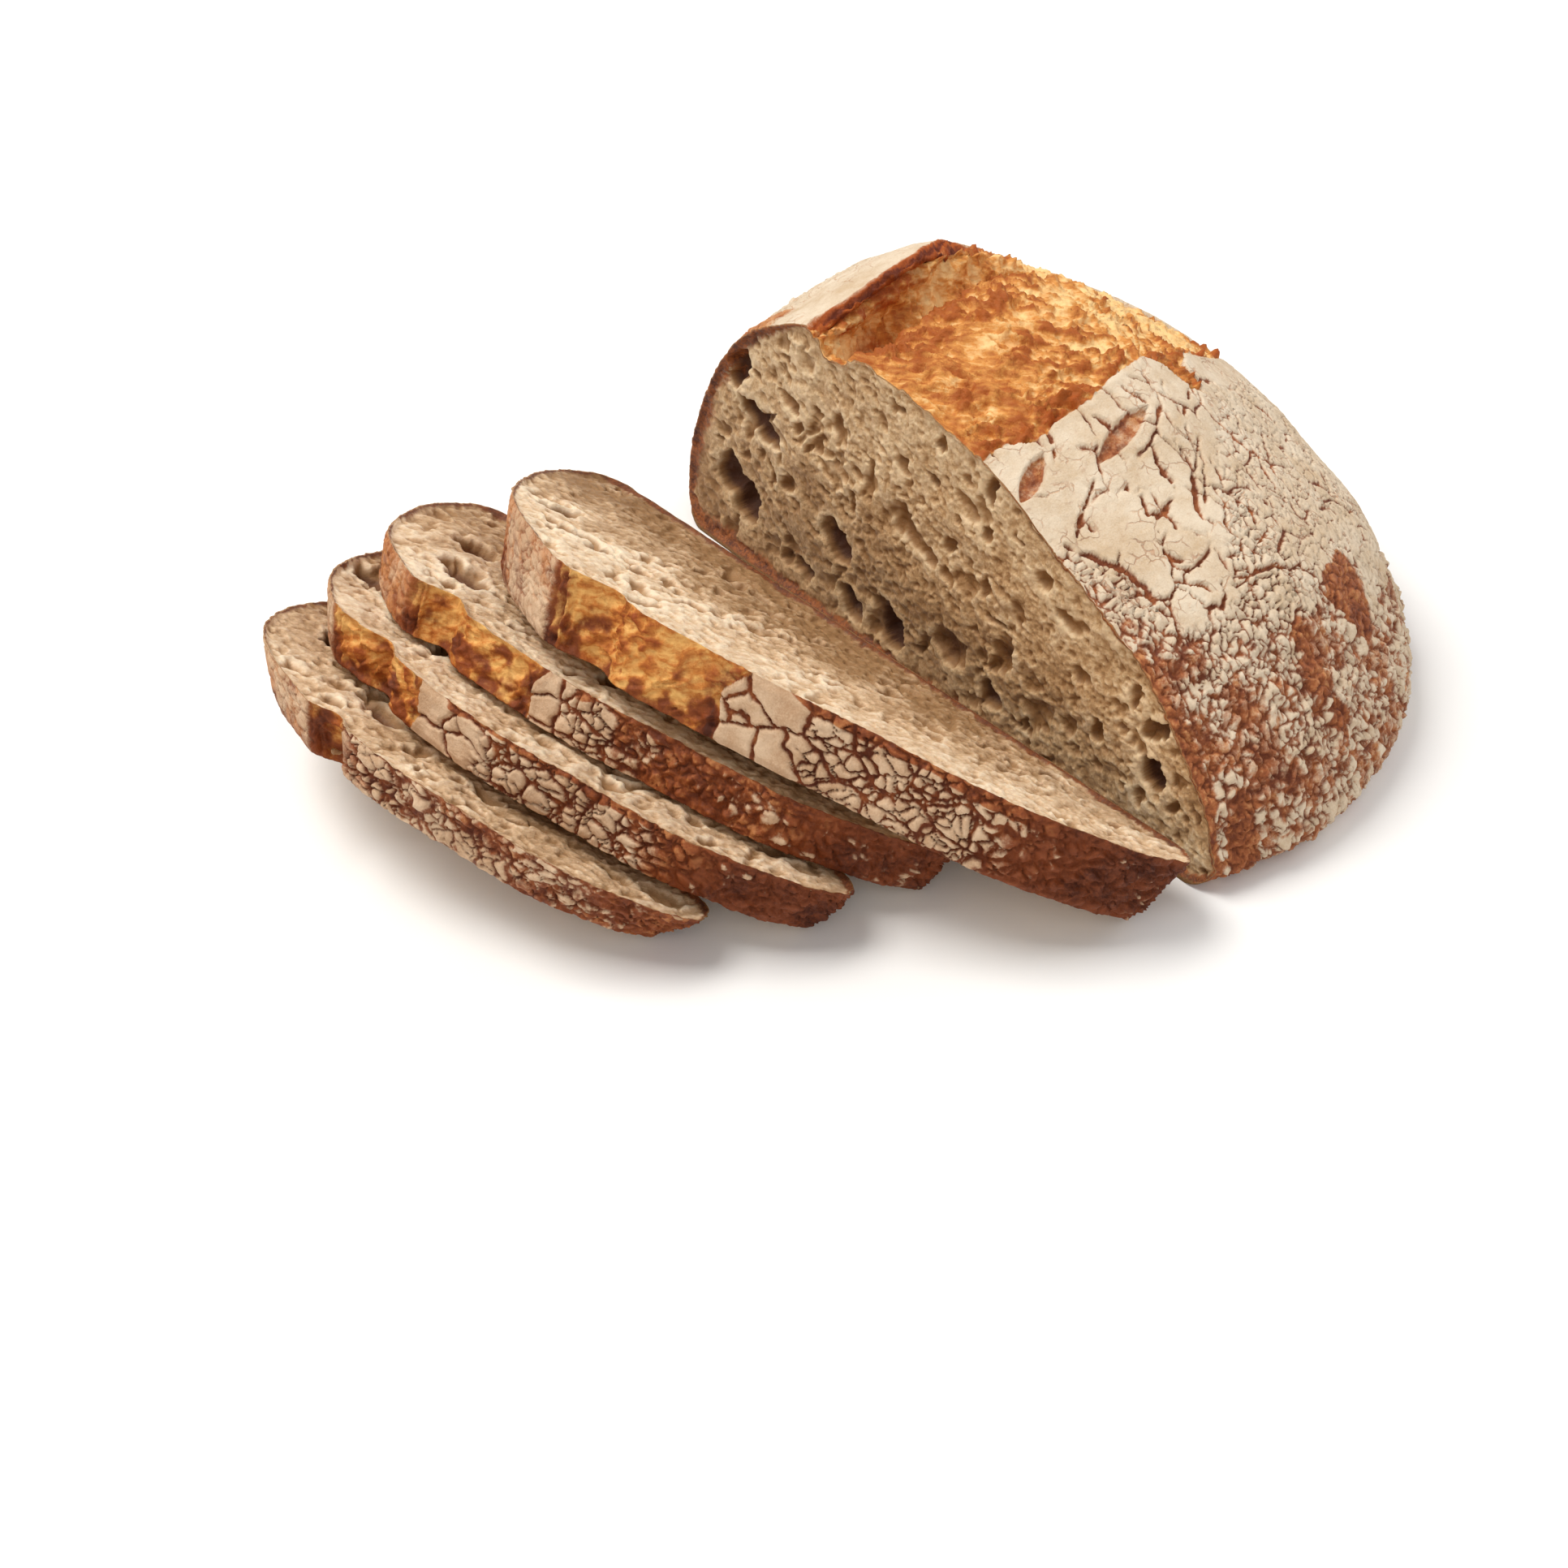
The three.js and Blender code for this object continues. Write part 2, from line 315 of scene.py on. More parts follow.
class Dress(IntEnum):
    """The finish that a face of the bread wears, by its place among the piece's materials."""

    CRUST = 0
    CRUMB = 1


class Mark(str, Enum):
    """What the surface tells its finish at each point, by the name of the mesh attribute."""

    FLOUR = "flour"
    TORN = "torn"
    CHAR = "char"
    STRAND = "strand"
    CRAZE = "craze"
    PIT = "pit"
    RAISED = "raised"
    RIM = "rim"


@dataclass
class Patch:
    """One sheet of a piece's surface, with its own place on the flat map."""

    points: Array
    faces: list[Array]
    flat: Array
    dress: Dress
    marks: dict[Mark, Array] = field(default_factory=dict)


def grid_faces(rows: int, columns: int, flipped: bool = False) -> Array:
    """The four-cornered faces of a grid of points.

    Args:
        rows: Number of rows of points.
        columns: Number of points in a row.
        flipped: Turns the faces over.

    Returns:
        Four indices to a row.
    """
    corners = cell_corners(np.arange(rows * columns).reshape(rows, columns))
    if flipped:
        corners.reverse()
    return np.stack([corner.ravel() for corner in corners], -1)


def grid_normals(points: Array) -> Array:
    """Outward normals of a grid of points, rows by columns by three."""
    return unit(np.cross(np.gradient(points, axis=0), np.gradient(points, axis=1)))


def unrolled(points: Array, spacing: float) -> Array:
    """Lays a grid of points flat.

    Args:
        points: The points, rows by columns by three.
        spacing: Room for one row.

    Returns:
        How far along the first row and how far up each point comes to lie, two to a row.
    """
    rows, columns = points.shape[:2]
    across = np.tile(distances(points[0]), (rows, 1))
    up = np.tile(np.arange(rows)[:, None] * spacing, columns)
    return np.dstack([across, up]).reshape(-1, 2)


def stand_for(piece: bpy.types.Object, node: str) -> None:
    """Lets a piece ride with the bread and stand for its node.

    Args:
        piece: The piece.
        node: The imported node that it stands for.
    """
    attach(piece, ROOT)
    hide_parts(node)


@dataclass
class BreadMesh:
    """Gathers patches that share their edges and turns them into one closed mesh."""

    name: str
    patches: list[Patch]

    def welded(self, points: Array) -> tuple[Array, Array]:
        """Finds the points that lie on each other.

        Args:
            points: All points of the patches, in millimetres.

        Returns:
            The index of the first point at each place, and for each point its new index.
        """
        keys = np.round(points * WELD_CELLS).astype(np.int64)
        _, first, inverse = np.unique(keys, axis=0, return_index=True, return_inverse=True)
        return first, inverse.ravel()

    def map_places(self) -> Array:
        """Lays the patches under each other on one square, without overlap.

        Returns:
            The place of each point on the square, from zero to one each way.
        """
        gap, margin = 2.0, 0.005
        widths, heights = np.array([np.ptp(patch.flat, axis=0) for patch in self.patches]).T
        below, placed = gap / 2, []
        for patch, width, height in zip(self.patches, widths, heights, strict=True):
            left, bottom = patch.flat.min(axis=0)
            across = (patch.flat[:, 0] - left) / width * (1.0 - 2.0 * margin) + margin
            placed.append(np.stack([across, patch.flat[:, 1] - bottom + below], -1))
            below += height + gap
        return np.concatenate(placed) / [1.0, sum(heights) + gap * len(heights)]

    def build(
        self, shift: Vector, turn: Matrix, finishes: Sequence[bpy.types.Material]
    ) -> bpy.types.Object:
        """Makes the Blender object.

        Args:
            shift: Where the millimetre frame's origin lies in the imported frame, in metres.
            turn: Places the piece in the millimetre frame.
            finishes: The materials, in the order of Dress.

        Returns:
            The object, linked into the scene.
        """
        points = np.concatenate([patch.points for patch in self.patches])
        first, new_index = self.welded(points)
        flat = self.map_places()
        starts = np.cumsum([0] + [len(patch.points) for patch in self.patches])
        loops, counts, slots = [], [], []
        for patch, start in zip(self.patches, starts, strict=False):
            for faces in patch.faces:
                for corners in self.whole_faces(faces + start, new_index):
                    loops.append(corners.ravel())
                    counts.append(np.full(len(corners), corners.shape[1]))
                    slots.append(np.full(len(corners), int(patch.dress)))
        corners, count = np.concatenate(loops), np.concatenate(counts)

        matrix = np.array(turn)
        placed = points[first] @ matrix[:3, :3].T + matrix[:3, 3]
        placed = placed * MM + np.array(shift)
        placed[:, 2] = np.maximum(placed[:, 2], 0.0)
        mesh = bpy.data.meshes.new(self.name)
        mesh.vertices.add(len(placed))
        mesh.vertices.foreach_set("co", placed.astype(np.float32).ravel())
        mesh.loops.add(len(corners))
        mesh.loops.foreach_set("vertex_index", new_index[corners].astype(np.int32))
        mesh.polygons.add(len(count))
        mesh.polygons.foreach_set("loop_start", (np.cumsum(count) - count).astype(np.int32))
        mesh.polygons.foreach_set("material_index", np.concatenate(slots).astype(np.int32))
        mesh.update(calc_edges=True)
        for finish in finishes:
            mesh.materials.append(finish)
        layer = mesh.uv_layers.new(name="OFBake")
        layer.uv.foreach_set("vector", flat[corners].astype(np.float32).ravel())
        self.mark(mesh, first, starts)
        mesh.shade_smooth()
        piece = bpy.data.objects.new(self.name, mesh)
        bpy.context.scene.collection.objects.link(piece)
        return piece

    def whole_faces(self, faces: Array, new_index: Array) -> list[Array]:
        """Drops the corners that welding has closed.

        Args:
            faces: Three or four indices to a row.
            new_index: The welded index of each point.

        Returns:
            The faces that keep their corners, and those that became triangles.
        """
        names = new_index[faces]
        same = names == np.roll(names, -1, axis=1)
        whole = [faces[~same.any(1)]]
        if faces.shape[1] == 4:
            for side in range(4):
                closed = same[:, side] & (same.sum(1) == 1)
                kept = [corner for corner in range(4) if corner != side]
                whole.append(faces[closed][:, kept])
        return [found for found in whole if len(found)]

    def mark(self, mesh: bpy.types.Mesh, first: Array, starts: Array) -> None:
        """Writes each mark as an attribute; a patch without it has zero there.

        Args:
            mesh: The mesh, with its points in place.
            first: The index of the first point at each place.
            starts: Where each patch's points start among all points, and their whole number.
        """
        for mark in Mark:
            values = np.zeros(starts[-1])
            for patch, start in zip(self.patches, starts, strict=False):
                if mark in patch.marks:
                    values[start : start + len(patch.points)] = patch.marks[mark]
            attribute = mesh.attributes.new(mark.value, "FLOAT", "POINT")
            attribute.data.foreach_set("value", values[first].astype(np.float32))


# ---------------------------------------------------------------------------- the loaf's form


@dataclass(frozen=True)
class Burst:
    """Where the crust burst: strength of the ear and the places of its lines, across the loaf."""

    ear: float
    lip: float
    foot: float
    border: float = 0.0
    crest: float = 0.0


@dataclass(frozen=True)
class LoafForm:
    """The form of the whole loaf, in millimetres."""

    half_width: float = 103.0
    heel_length: float = 129.0
    belly_swell: float = 1.045
    waist_height: float = 8.0
    underside_inset: float = 9.0
    lip_rise: float = 5.2
    lip_overhang: float = 5.0
    hollow_depth: float = 12.0
    ear_open_by: float = 16.0
    ear_fades: tuple[float, float] = (34.0, 84.0)
    crust_length: float = 290.0
    crust_line: Line = (
        (-103, 8), (-98, 22), (-88, 35), (-74, 49.5), (-56, 59.5), (-40, 66.5), (-26, 74), (-8, 80),
        (12, 83.5), (30, 85), (45, 84), (62, 79.5), (78, 69), (92, 49), (101, 25), (103, 8),
    )

    def crust_at(self, fractions: Array) -> Array:
        """Points of the crust line, evenly along its length.

        Args:
            fractions: From zero at the right waist to one at the left waist.

        Returns:
            Across and up for each fraction.
        """
        knots = np.array(self.crust_line, float)
        before = np.vstack([2 * knots[0] - knots[1], knots, 2 * knots[-1] - knots[-2]])
        steps_in_span = 40
        part = np.linspace(0.0, 1.0, steps_in_span, endpoint=False)[:, None]
        curve = []
        for span in range(len(knots) - 1):
            p0, p1, p2, p3 = before[span : span + 4]
            t0, t1, t2 = (math.sqrt(np.linalg.norm(b - a)) for a, b in ((p0, p1), (p1, p2), (p2, p3)))
            leave = ((p1 - p0) / t0 - (p2 - p0) / (t0 + t1) + (p2 - p1) / t1) * t1
            arrive = ((p2 - p1) / t1 - (p3 - p1) / (t1 + t2) + (p3 - p2) / t2) * t1
            cubic = 2 * p1 - 2 * p2 + leave + arrive
            square = -3 * p1 + 3 * p2 - 2 * leave - arrive
            curve.append(p1 + part * (leave + part * (square + part * cubic)))
        line = np.vstack([*curve, knots[-1:]])
        reached = distances(line)
        return line_at(line, reached / reached[-1], fractions)

    def plan_width(self, along: Array) -> Array:
        """How wide the loaf is against the cut face.

        Args:
            along: Places along the loaf.

        Returns:
            One at the cut, a little more behind it, and zero at the tip of the heel.
        """
        straight, power, swell_length = 14.0, 2.2, 36.0
        reach = clamp((along - straight) / (self.heel_length - straight))
        quarter = np.minimum(1.0, along / swell_length) * (math.pi / 2)
        swell = blend(1.0, self.belly_swell, np.sin(quarter))
        return swell * (1.0 - reach**power) ** (1.0 / power)

    def crown_height(self, along: Array) -> Array:
        """How high the loaf is against the cut face.

        Args:
            along: Places along the loaf.

        Returns:
            One at the cut, a little more behind it, and zero at the tip of the heel.
        """
        level, power, swell_length, swell_height = 28.5, 2.08, 96.0, 0.097
        reach = clamp((along - level) / (self.heel_length - level))
        swell = 1.0 + swell_height * np.sin(math.pi * np.minimum(1.0, along / swell_length)) ** 2
        return swell * (1.0 - reach**power) ** (1.0 / power)

    def ear_strength(self, along: Array, at_cut: float) -> Array:
        """How strongly the ear stands open along the standing half."""
        return blend(at_cut, 1.0, smooth(along, 0.0, self.ear_open_by)) * fade(along, *self.ear_fades)

    def section(
        self,
        line: Array,
        scale: tuple[Array, Array],
        ear: Array | float,
        burst: Burst,
    ) -> Array:
        """Points of the smooth crust.

        Args:
            line: Across and up on the crust line.
            scale: Width and height against the cut face.
            ear: Strength of the ear.
            burst: The lines of the burst.

        Returns:
            Across and up for each point.
        """
        across, rise = line[..., 0], line[..., 1] - self.waist_height
        overhang = self.lip_overhang * bell(across, burst.lip, 6.0) * ear
        lip = self.lip_rise * bell(across, burst.lip, 8.0) * ear
        hollow = self.hollow_depth * bell(across, burst.foot, 6.5) * ear
        crest = burst.crest * bell(across, 26.0, 34.0)
        y = across * scale[0] - overhang
        z = self.waist_height + (rise + crest) * scale[1] + lip - hollow
        return np.stack([y, z], -1)

    def surface(self, along: Array, across: Array, burst: Burst) -> Array:
        """Finds points of the smooth crust of the standing half.

        Args:
            along: Their places along the loaf.
            across: Their places across the crust line.
            burst: The lines of the burst.

        Returns:
            The points, three to a row.
        """
        points_of_line = 600
        line = self.crust_at(np.linspace(0.0, 1.0, points_of_line))
        place = np.stack([across, np.interp(across, line[:, 0], line[:, 1])], -1)
        scale = (self.plan_width(along), self.crown_height(along))
        section = self.section(place, scale, self.ear_strength(along, burst.ear), burst)
        return np.column_stack([along, section])


FORM = LoafForm()


@dataclass(frozen=True)
class Scoring:
    """A leaf-shaped nick of the blade in the floured crust: both ends, along then across."""

    start: tuple[float, float]
    end: tuple[float, float]
    half_width: float

    def depth(self, along: Array, across: Array) -> Array:
        """How deep each place lies in the nick.

        Args:
            along: Places along the loaf.
            across: Places across the crust line.

        Returns:
            One in the middle of the nick and zero outside it.
        """
        axis = np.subtract(self.end, self.start)
        length = float(np.linalg.norm(axis))
        forward = axis / length
        offset = np.stack([along - self.start[0], across - self.start[1]], -1)
        share = offset @ forward / length
        aside = np.abs(offset[..., 0] * forward[1] - offset[..., 1] * forward[0])
        room = clamp(4.0 * share * (1.0 - share)) ** 0.85 * self.half_width
        return smooth(room - aside, 0.0, 0.6) * (room > 0)


@dataclass(frozen=True)
class Crack:
    """A crack of its own in the flour: the places it runs through, along then across."""

    course: Line
    width: float = 0.9

    def openness(self, points: Array, burst: Burst) -> Array:
        """How far open the crack is at each point.

        Args:
            points: Points of the crust, in millimetres.
            burst: The lines of the loaf's burst.

        Returns:
            One in the crack, zero on the plates beside it.
        """
        course = np.array(self.course, float)
        reached, step = distances(course), 0.6
        even = np.linspace(0.0, reached[-1], max(3, round(reached[-1] / step)))
        spots = FORM.surface(*line_at(course, reached, even).T, burst)
        taper = clamp(np.sin(math.pi * even / reached[-1])) ** 0.6
        half = 0.72 * self.width * (0.2 + 0.8 * taper) * (1.0 + 0.45 * GRAIN.swell(spots, 2.5, 811))
        low, high = spots.min(0) - 2.0, spots.max(0) + 2.0
        near = np.flatnonzero(((points > low) & (points < high)).all(1))
        away = np.linalg.norm(points[near, None] - spots[None], axis=-1) - half[None]
        found = np.zeros(len(points))
        found[near] = fade(away.min(axis=1), 0.0, 0.42)
        return found


@dataclass
class CrustPlace:
    """Where each point of a crust patch lies and how it was baked, one entry for each point."""

    points: Array
    normals: Array
    along: Array
    across: Array
    ear: Array
    edge: Array
    lip: Array
    crackle: Array
    low: Array
    dust: Array
    calm: Array
    golden: Array
    dark: Array

    def part(self, chosen: Array) -> CrustPlace:
        """The chosen points alone."""
        return CrustPlace(*(getattr(self, entry.name)[chosen] for entry in fields(self)))


@dataclass(frozen=True)
class CrustRelief:
    """The relief and the marks of the crust: flour plates, torn band, lip and bare patches."""

    burst: Burst
    plate_size: float = 14.0
    plate_gap: float = 0.42
    plate_cracks: float = 0.24
    crackle_size: float = 3.3
    crackle_gap: float = 0.2
    low_gap: float = 0.36
    crack_depth: float = 1.3
    lump_size: float = 5.2
    pillow: float = 0.24
    toast: float = 0.0
    pocket_at: float = 18.0
    craze: float = 0.4
    veil: float = 0.0
    tear: float = 1.0
    lip_char: float = 1.0
    scorings: tuple[Scoring, ...] = ()
    cracks: tuple[Crack, ...] = ()
    strand_way: Triple = (0.5, -0.84, 0.2)

    def floured(self, place: CrustPlace) -> tuple[Array, Array, Array]:
        """The floured crust: smooth plates that break up into a crackle lower down.

        Args:
            place: Where the points lie.

        Returns:
            Height in millimetres, the cover of flour, and how light the bare crust is.
        """
        spot, across = place.points, place.across
        wander = GRAIN.bent(GRAIN.bent(GRAIN.bent(spot, 8.0, 1.6, 21), 2.4, 0.7, 71), 1.1, 0.24, 75)
        stretch = np.array([1.35, 0.9, 0.9])
        normals = unit(place.normals / stretch)
        gap, name = GRAIN.seams(wander * stretch, self.plate_size, 31, normals)
        level = 0.5 - self.plate_cracks
        shown = smooth(GRAIN.layers(spot, 12.0, 2, 37), level - 0.5, level - 0.25)
        flap = smooth(across - place.lip, -1.0, 3.0)
        crack = shown * fade(gap, 0.25 * self.plate_gap, 1.8 * self.plate_gap)
        crack = crack * (1.0 - 0.9 * flap)
        for own in self.cracks:
            crack = np.maximum(crack, own.openness(wander, self.burst))

        small = GRAIN.bent(wander, 4.0, 0.9, 81)
        gap, piece = GRAIN.seams(small * stretch, self.crackle_size, 41, normals)
        lump, _ = GRAIN.seams(GRAIN.bent(small, 2.0, 0.6, 85), self.lump_size, 51, place.normals)
        width = blend(self.crackle_gap, self.low_gap, place.low)
        width = width * (1.0 + 1.1 * GRAIN.layers(spot, 4.0, 2, 87))
        width = np.maximum(width * (1.0 - 0.35 * place.calm), 0.06)
        split = place.crackle * fade(gap, 0.2 * width, 1.9 * width)
        dome, hump = smooth(gap, 0.0, 1.3), smooth(lump, 0.0, 2.0)
        sharp = place.crackle * (1.0 - 0.65 * place.calm)

        height = 0.95 + 0.22 * GRAIN.layers(spot, 6.0, 3, 61) + 0.1 * GRAIN.swell(spot, 1.4, 67)
        height += 0.2 * (name - 0.5) + 0.25 * bell(across - place.edge, -1.2, 1.2)
        height += sharp * (self.pillow * dome + 0.3 * (piece - 0.5) - 0.2)
        grit = GRAIN.layers(spot, 1.7, 2, 97)
        height += place.low * (0.65 * hump + 0.4 * grit + 0.9 * GRAIN.layers(spot, 5.0, 2, 91) - 0.6)
        crack = np.maximum(crack, split)
        height -= self.crack_depth * crack * blend(1.0, 0.5, place.low) * (1.0 - 0.4 * place.calm)

        patches = GRAIN.layers(spot, 10.0, 3, 95) * blend(0.35, 1.0, place.low)
        specks = 0.4 * (hump - 0.5) + 0.45 * grit + 0.5 * GRAIN.layers(spot, 3.4, 2, 93)
        cover = place.dust + patches + place.low * specks + 0.2 * (piece - 0.5) * place.crackle
        veil = np.maximum(place.low, self.veil) * smooth(place.dust, 0.1, 0.5) * (0.3 + 0.3 * grit)
        cover = np.maximum(smooth(cover, 0.08, 0.82), veil)
        crack = crack * blend(1.0, 0.85, place.low)
        nick = np.zeros(len(spot))
        for scoring in self.scorings:
            nick = np.maximum(nick, scoring.depth(place.along, across))
        height = blend(height, -0.8 + 0.4 * GRAIN.layers(spot, 1.6, 2, 99), nick)
        nick = smooth(nick, 0.3, 0.7)
        dusted = cover * (1.0 - nick) + nick * (0.22 + 0.25 * grit)
        light = 0.35 * (1.0 - crack) * (1.0 + 0.2 * nick) + 0.4 * flap
        return height, (1.0 - crack) * dusted, light

    def torn(self, place: CrustPlace) -> tuple[Array, Array]:
        """The torn golden band, where the dough stretched into webs, lumps and strands.

        Args:
            place: Where the points lie.

        Returns:
            Height in millimetres and how far a point stands out, from zero to one.
        """
        spot = place.points
        ahead = unit(np.array(self.strand_way))
        aside = unit(np.cross([0.0, 0.0, 1.0], ahead))
        frame = np.stack([ahead * 0.42, aside * 1.1, np.cross(ahead, aside) * 0.9])
        pulled = GRAIN.bent(GRAIN.bent(spot, 14.0, 4.5, 221), 4.0, 1.3, 225) @ frame.T
        gap, name = GRAIN.seams(pulled, 5.2, 231)
        some = smooth(GRAIN.layers(spot, 11.0, 2, 235), -0.45, 0.1)
        web = fade(gap, 0.05, 0.9) * some
        rough = smooth(GRAIN.layers(spot, 13.0, 2, 241), -0.25, 0.3)
        near_edge = bell(place.across - place.edge, 2.5, 3.2)
        crest = bell(place.across - self.burst.foot, -10.0, 7.0) * place.ear
        rough = clamp(rough + near_edge + 1.2 * crest)
        lumps = GRAIN.layers(pulled, 5.5, 2, 245)
        threads = GRAIN.crests(pulled * np.array([0.5, 1.15, 1.0]), 2.7, 2, 251)
        crumbs = GRAIN.layers(spot, 1.9, 2, 255)
        height = 1.3 * web + 1.5 * lumps + blend(1.7, 2.4, rough) * (threads - 0.5)
        height += (0.4 + 1.0 * rough) * crumbs + 0.4 * (name - 0.5) - 0.5
        toasted = 0.3 + 0.9 * (threads - 0.45) * (0.4 + rough) + 0.28 * rough + 0.3 * crumbs * (0.5 + rough)
        toasted += 0.2 * lumps + 0.14 * (name - 0.5) - 0.2 * web * (1.0 - rough)
        return self.tear * height, clamp(blend(0.45, toasted, self.tear))

    def shape(self, place: CrustPlace) -> tuple[Array, dict[Mark, Array]]:
        """Works out the whole relief of a patch of crust.

        Args:
            place: Where its points lie.

        Returns:
            Height along the normal, in millimetres, and the marks for the finish.
        """
        spot, ear = place.points, np.minimum(1.0, 1.5 * place.ear)
        jag = 0.4 * GRAIN.layers(spot, 3.0, 3, 301) + 0.5 * GRAIN.swell(spot, 8.0, 305)
        inside = place.across - place.edge + jag
        beyond = place.across - place.lip + 0.9 * GRAIN.layers(spot * [1.0, 0.3, 0.3], 8.0, 3, 311)
        band = smooth(inside, -0.3, 0.3) * fade(beyond, 0.3, 1.1)
        height, flour, light = np.zeros((3, len(spot)))
        torn_height, strand = np.zeros(len(spot)), np.zeros(len(spot))
        outer, inner = band < 0.999, band > 0.001
        height[outer], flour[outer], light[outer] = self.floured(place.part(outer))
        torn_height[inner], strand[inner] = self.torn(place.part(inner))

        ragged = GRAIN.layers(spot * [0.5, 1.3, 1.3], 2.2, 3, 341)
        hollow = bell(place.across, self.burst.foot + 3.0, 7.0) * ear
        streaks = GRAIN.layers(spot * [1.0, 0.16, 0.16], 2.1, 2, 345)
        pocket = bell(place.along, self.pocket_at, 9.5)
        pocket = pocket * bell(place.across, self.burst.foot + 0.5, 6.0) * ear
        fibres = GRAIN.crests(GRAIN.bent(spot, 6.0, 1.6, 343) * [0.3, 1.0, 1.0], 2.1, 3, 347) - 0.5
        inner_wall = clamp(hollow + pocket)
        fibres = fibres * inner_wall
        torn_height += hollow * (0.8 * streaks - 0.2 * torn_height) - 5.4 * pocket + 1.2 * fibres
        torn_height -= 0.5 + 0.9 * smooth(place.across - self.burst.foot, -5.5, -4.0) * ear
        torn_height += (0.9 + 0.8 * ragged) * bell(inside, 2.2, 2.4)
        shelf = bell(beyond, -4.6, 1.1) * (0.9 + ragged)
        shelf = shelf - 1.2 * bell(beyond, -2.8, 1.0) - 0.9 * bell(beyond, -6.6, 1.3)
        edge = bell(beyond, -0.3, 1.3) * (1.2 + 0.8 * ragged)
        height = blend(height, torn_height, band) + ear * (shelf + edge)

        spots = smooth(GRAIN.layers(spot, 6.0, 3, 351), 0.25, 0.55)
        stains = self.toast * (0.8 + 1.3 * GRAIN.layers(spot, 5.0, 3, 355))
        burnt_ear = self.lip_char * ear
        lip_line = burnt_ear * bell(beyond, 0.4, 0.8)
        char = (0.3 + 0.5 * ragged) * bell(inside, 1.6, 1.9) + 0.16 * spots
        char += burnt_ear * (0.78 + 0.6 * ragged) * bell(beyond, -2.0, 2.0)
        char += burnt_ear * 0.5 * (0.5 + ragged) * bell(beyond, -5.2, 1.3)
        # Painted shade: a dark spot where the pocket under the ear is deepest, carried with the char.
        char += 0.5 * smooth(pocket, 0.6, 0.95) - 0.3 * fibres - 0.1 * hollow * (1.0 + streaks)
        char = char * band + 0.85 * lip_line + stains + place.dark
        strand = strand + place.golden * (1.0 - 0.9 * inner_wall)
        strand = blend(strand, 0.26 + 0.5 * streaks, 0.8 * hollow) - 0.35 * fibres
        strand = blend(light, strand, band)
        marks = {
            Mark.FLOUR: clamp(flour * (1.0 - band) * (1.0 - 1.5 * lip_line)),
            Mark.TORN: band,
            Mark.CHAR: clamp(char),
            Mark.STRAND: clamp(strand),
            Mark.CRAZE: (1.0 - band) * (1.0 - place.low) * self.craze,
        }
        return height, marks


# ---------------------------------------------------------------------------- the crumb


@dataclass(frozen=True)
class Bubble:
    """A hole in a cut face: its middle, half width and height, depth of its middle, and lean."""

    across: float
    up: float
    half_width: float
    half_height: float
    sunk: float = 0.0
    lean: float = 0.0


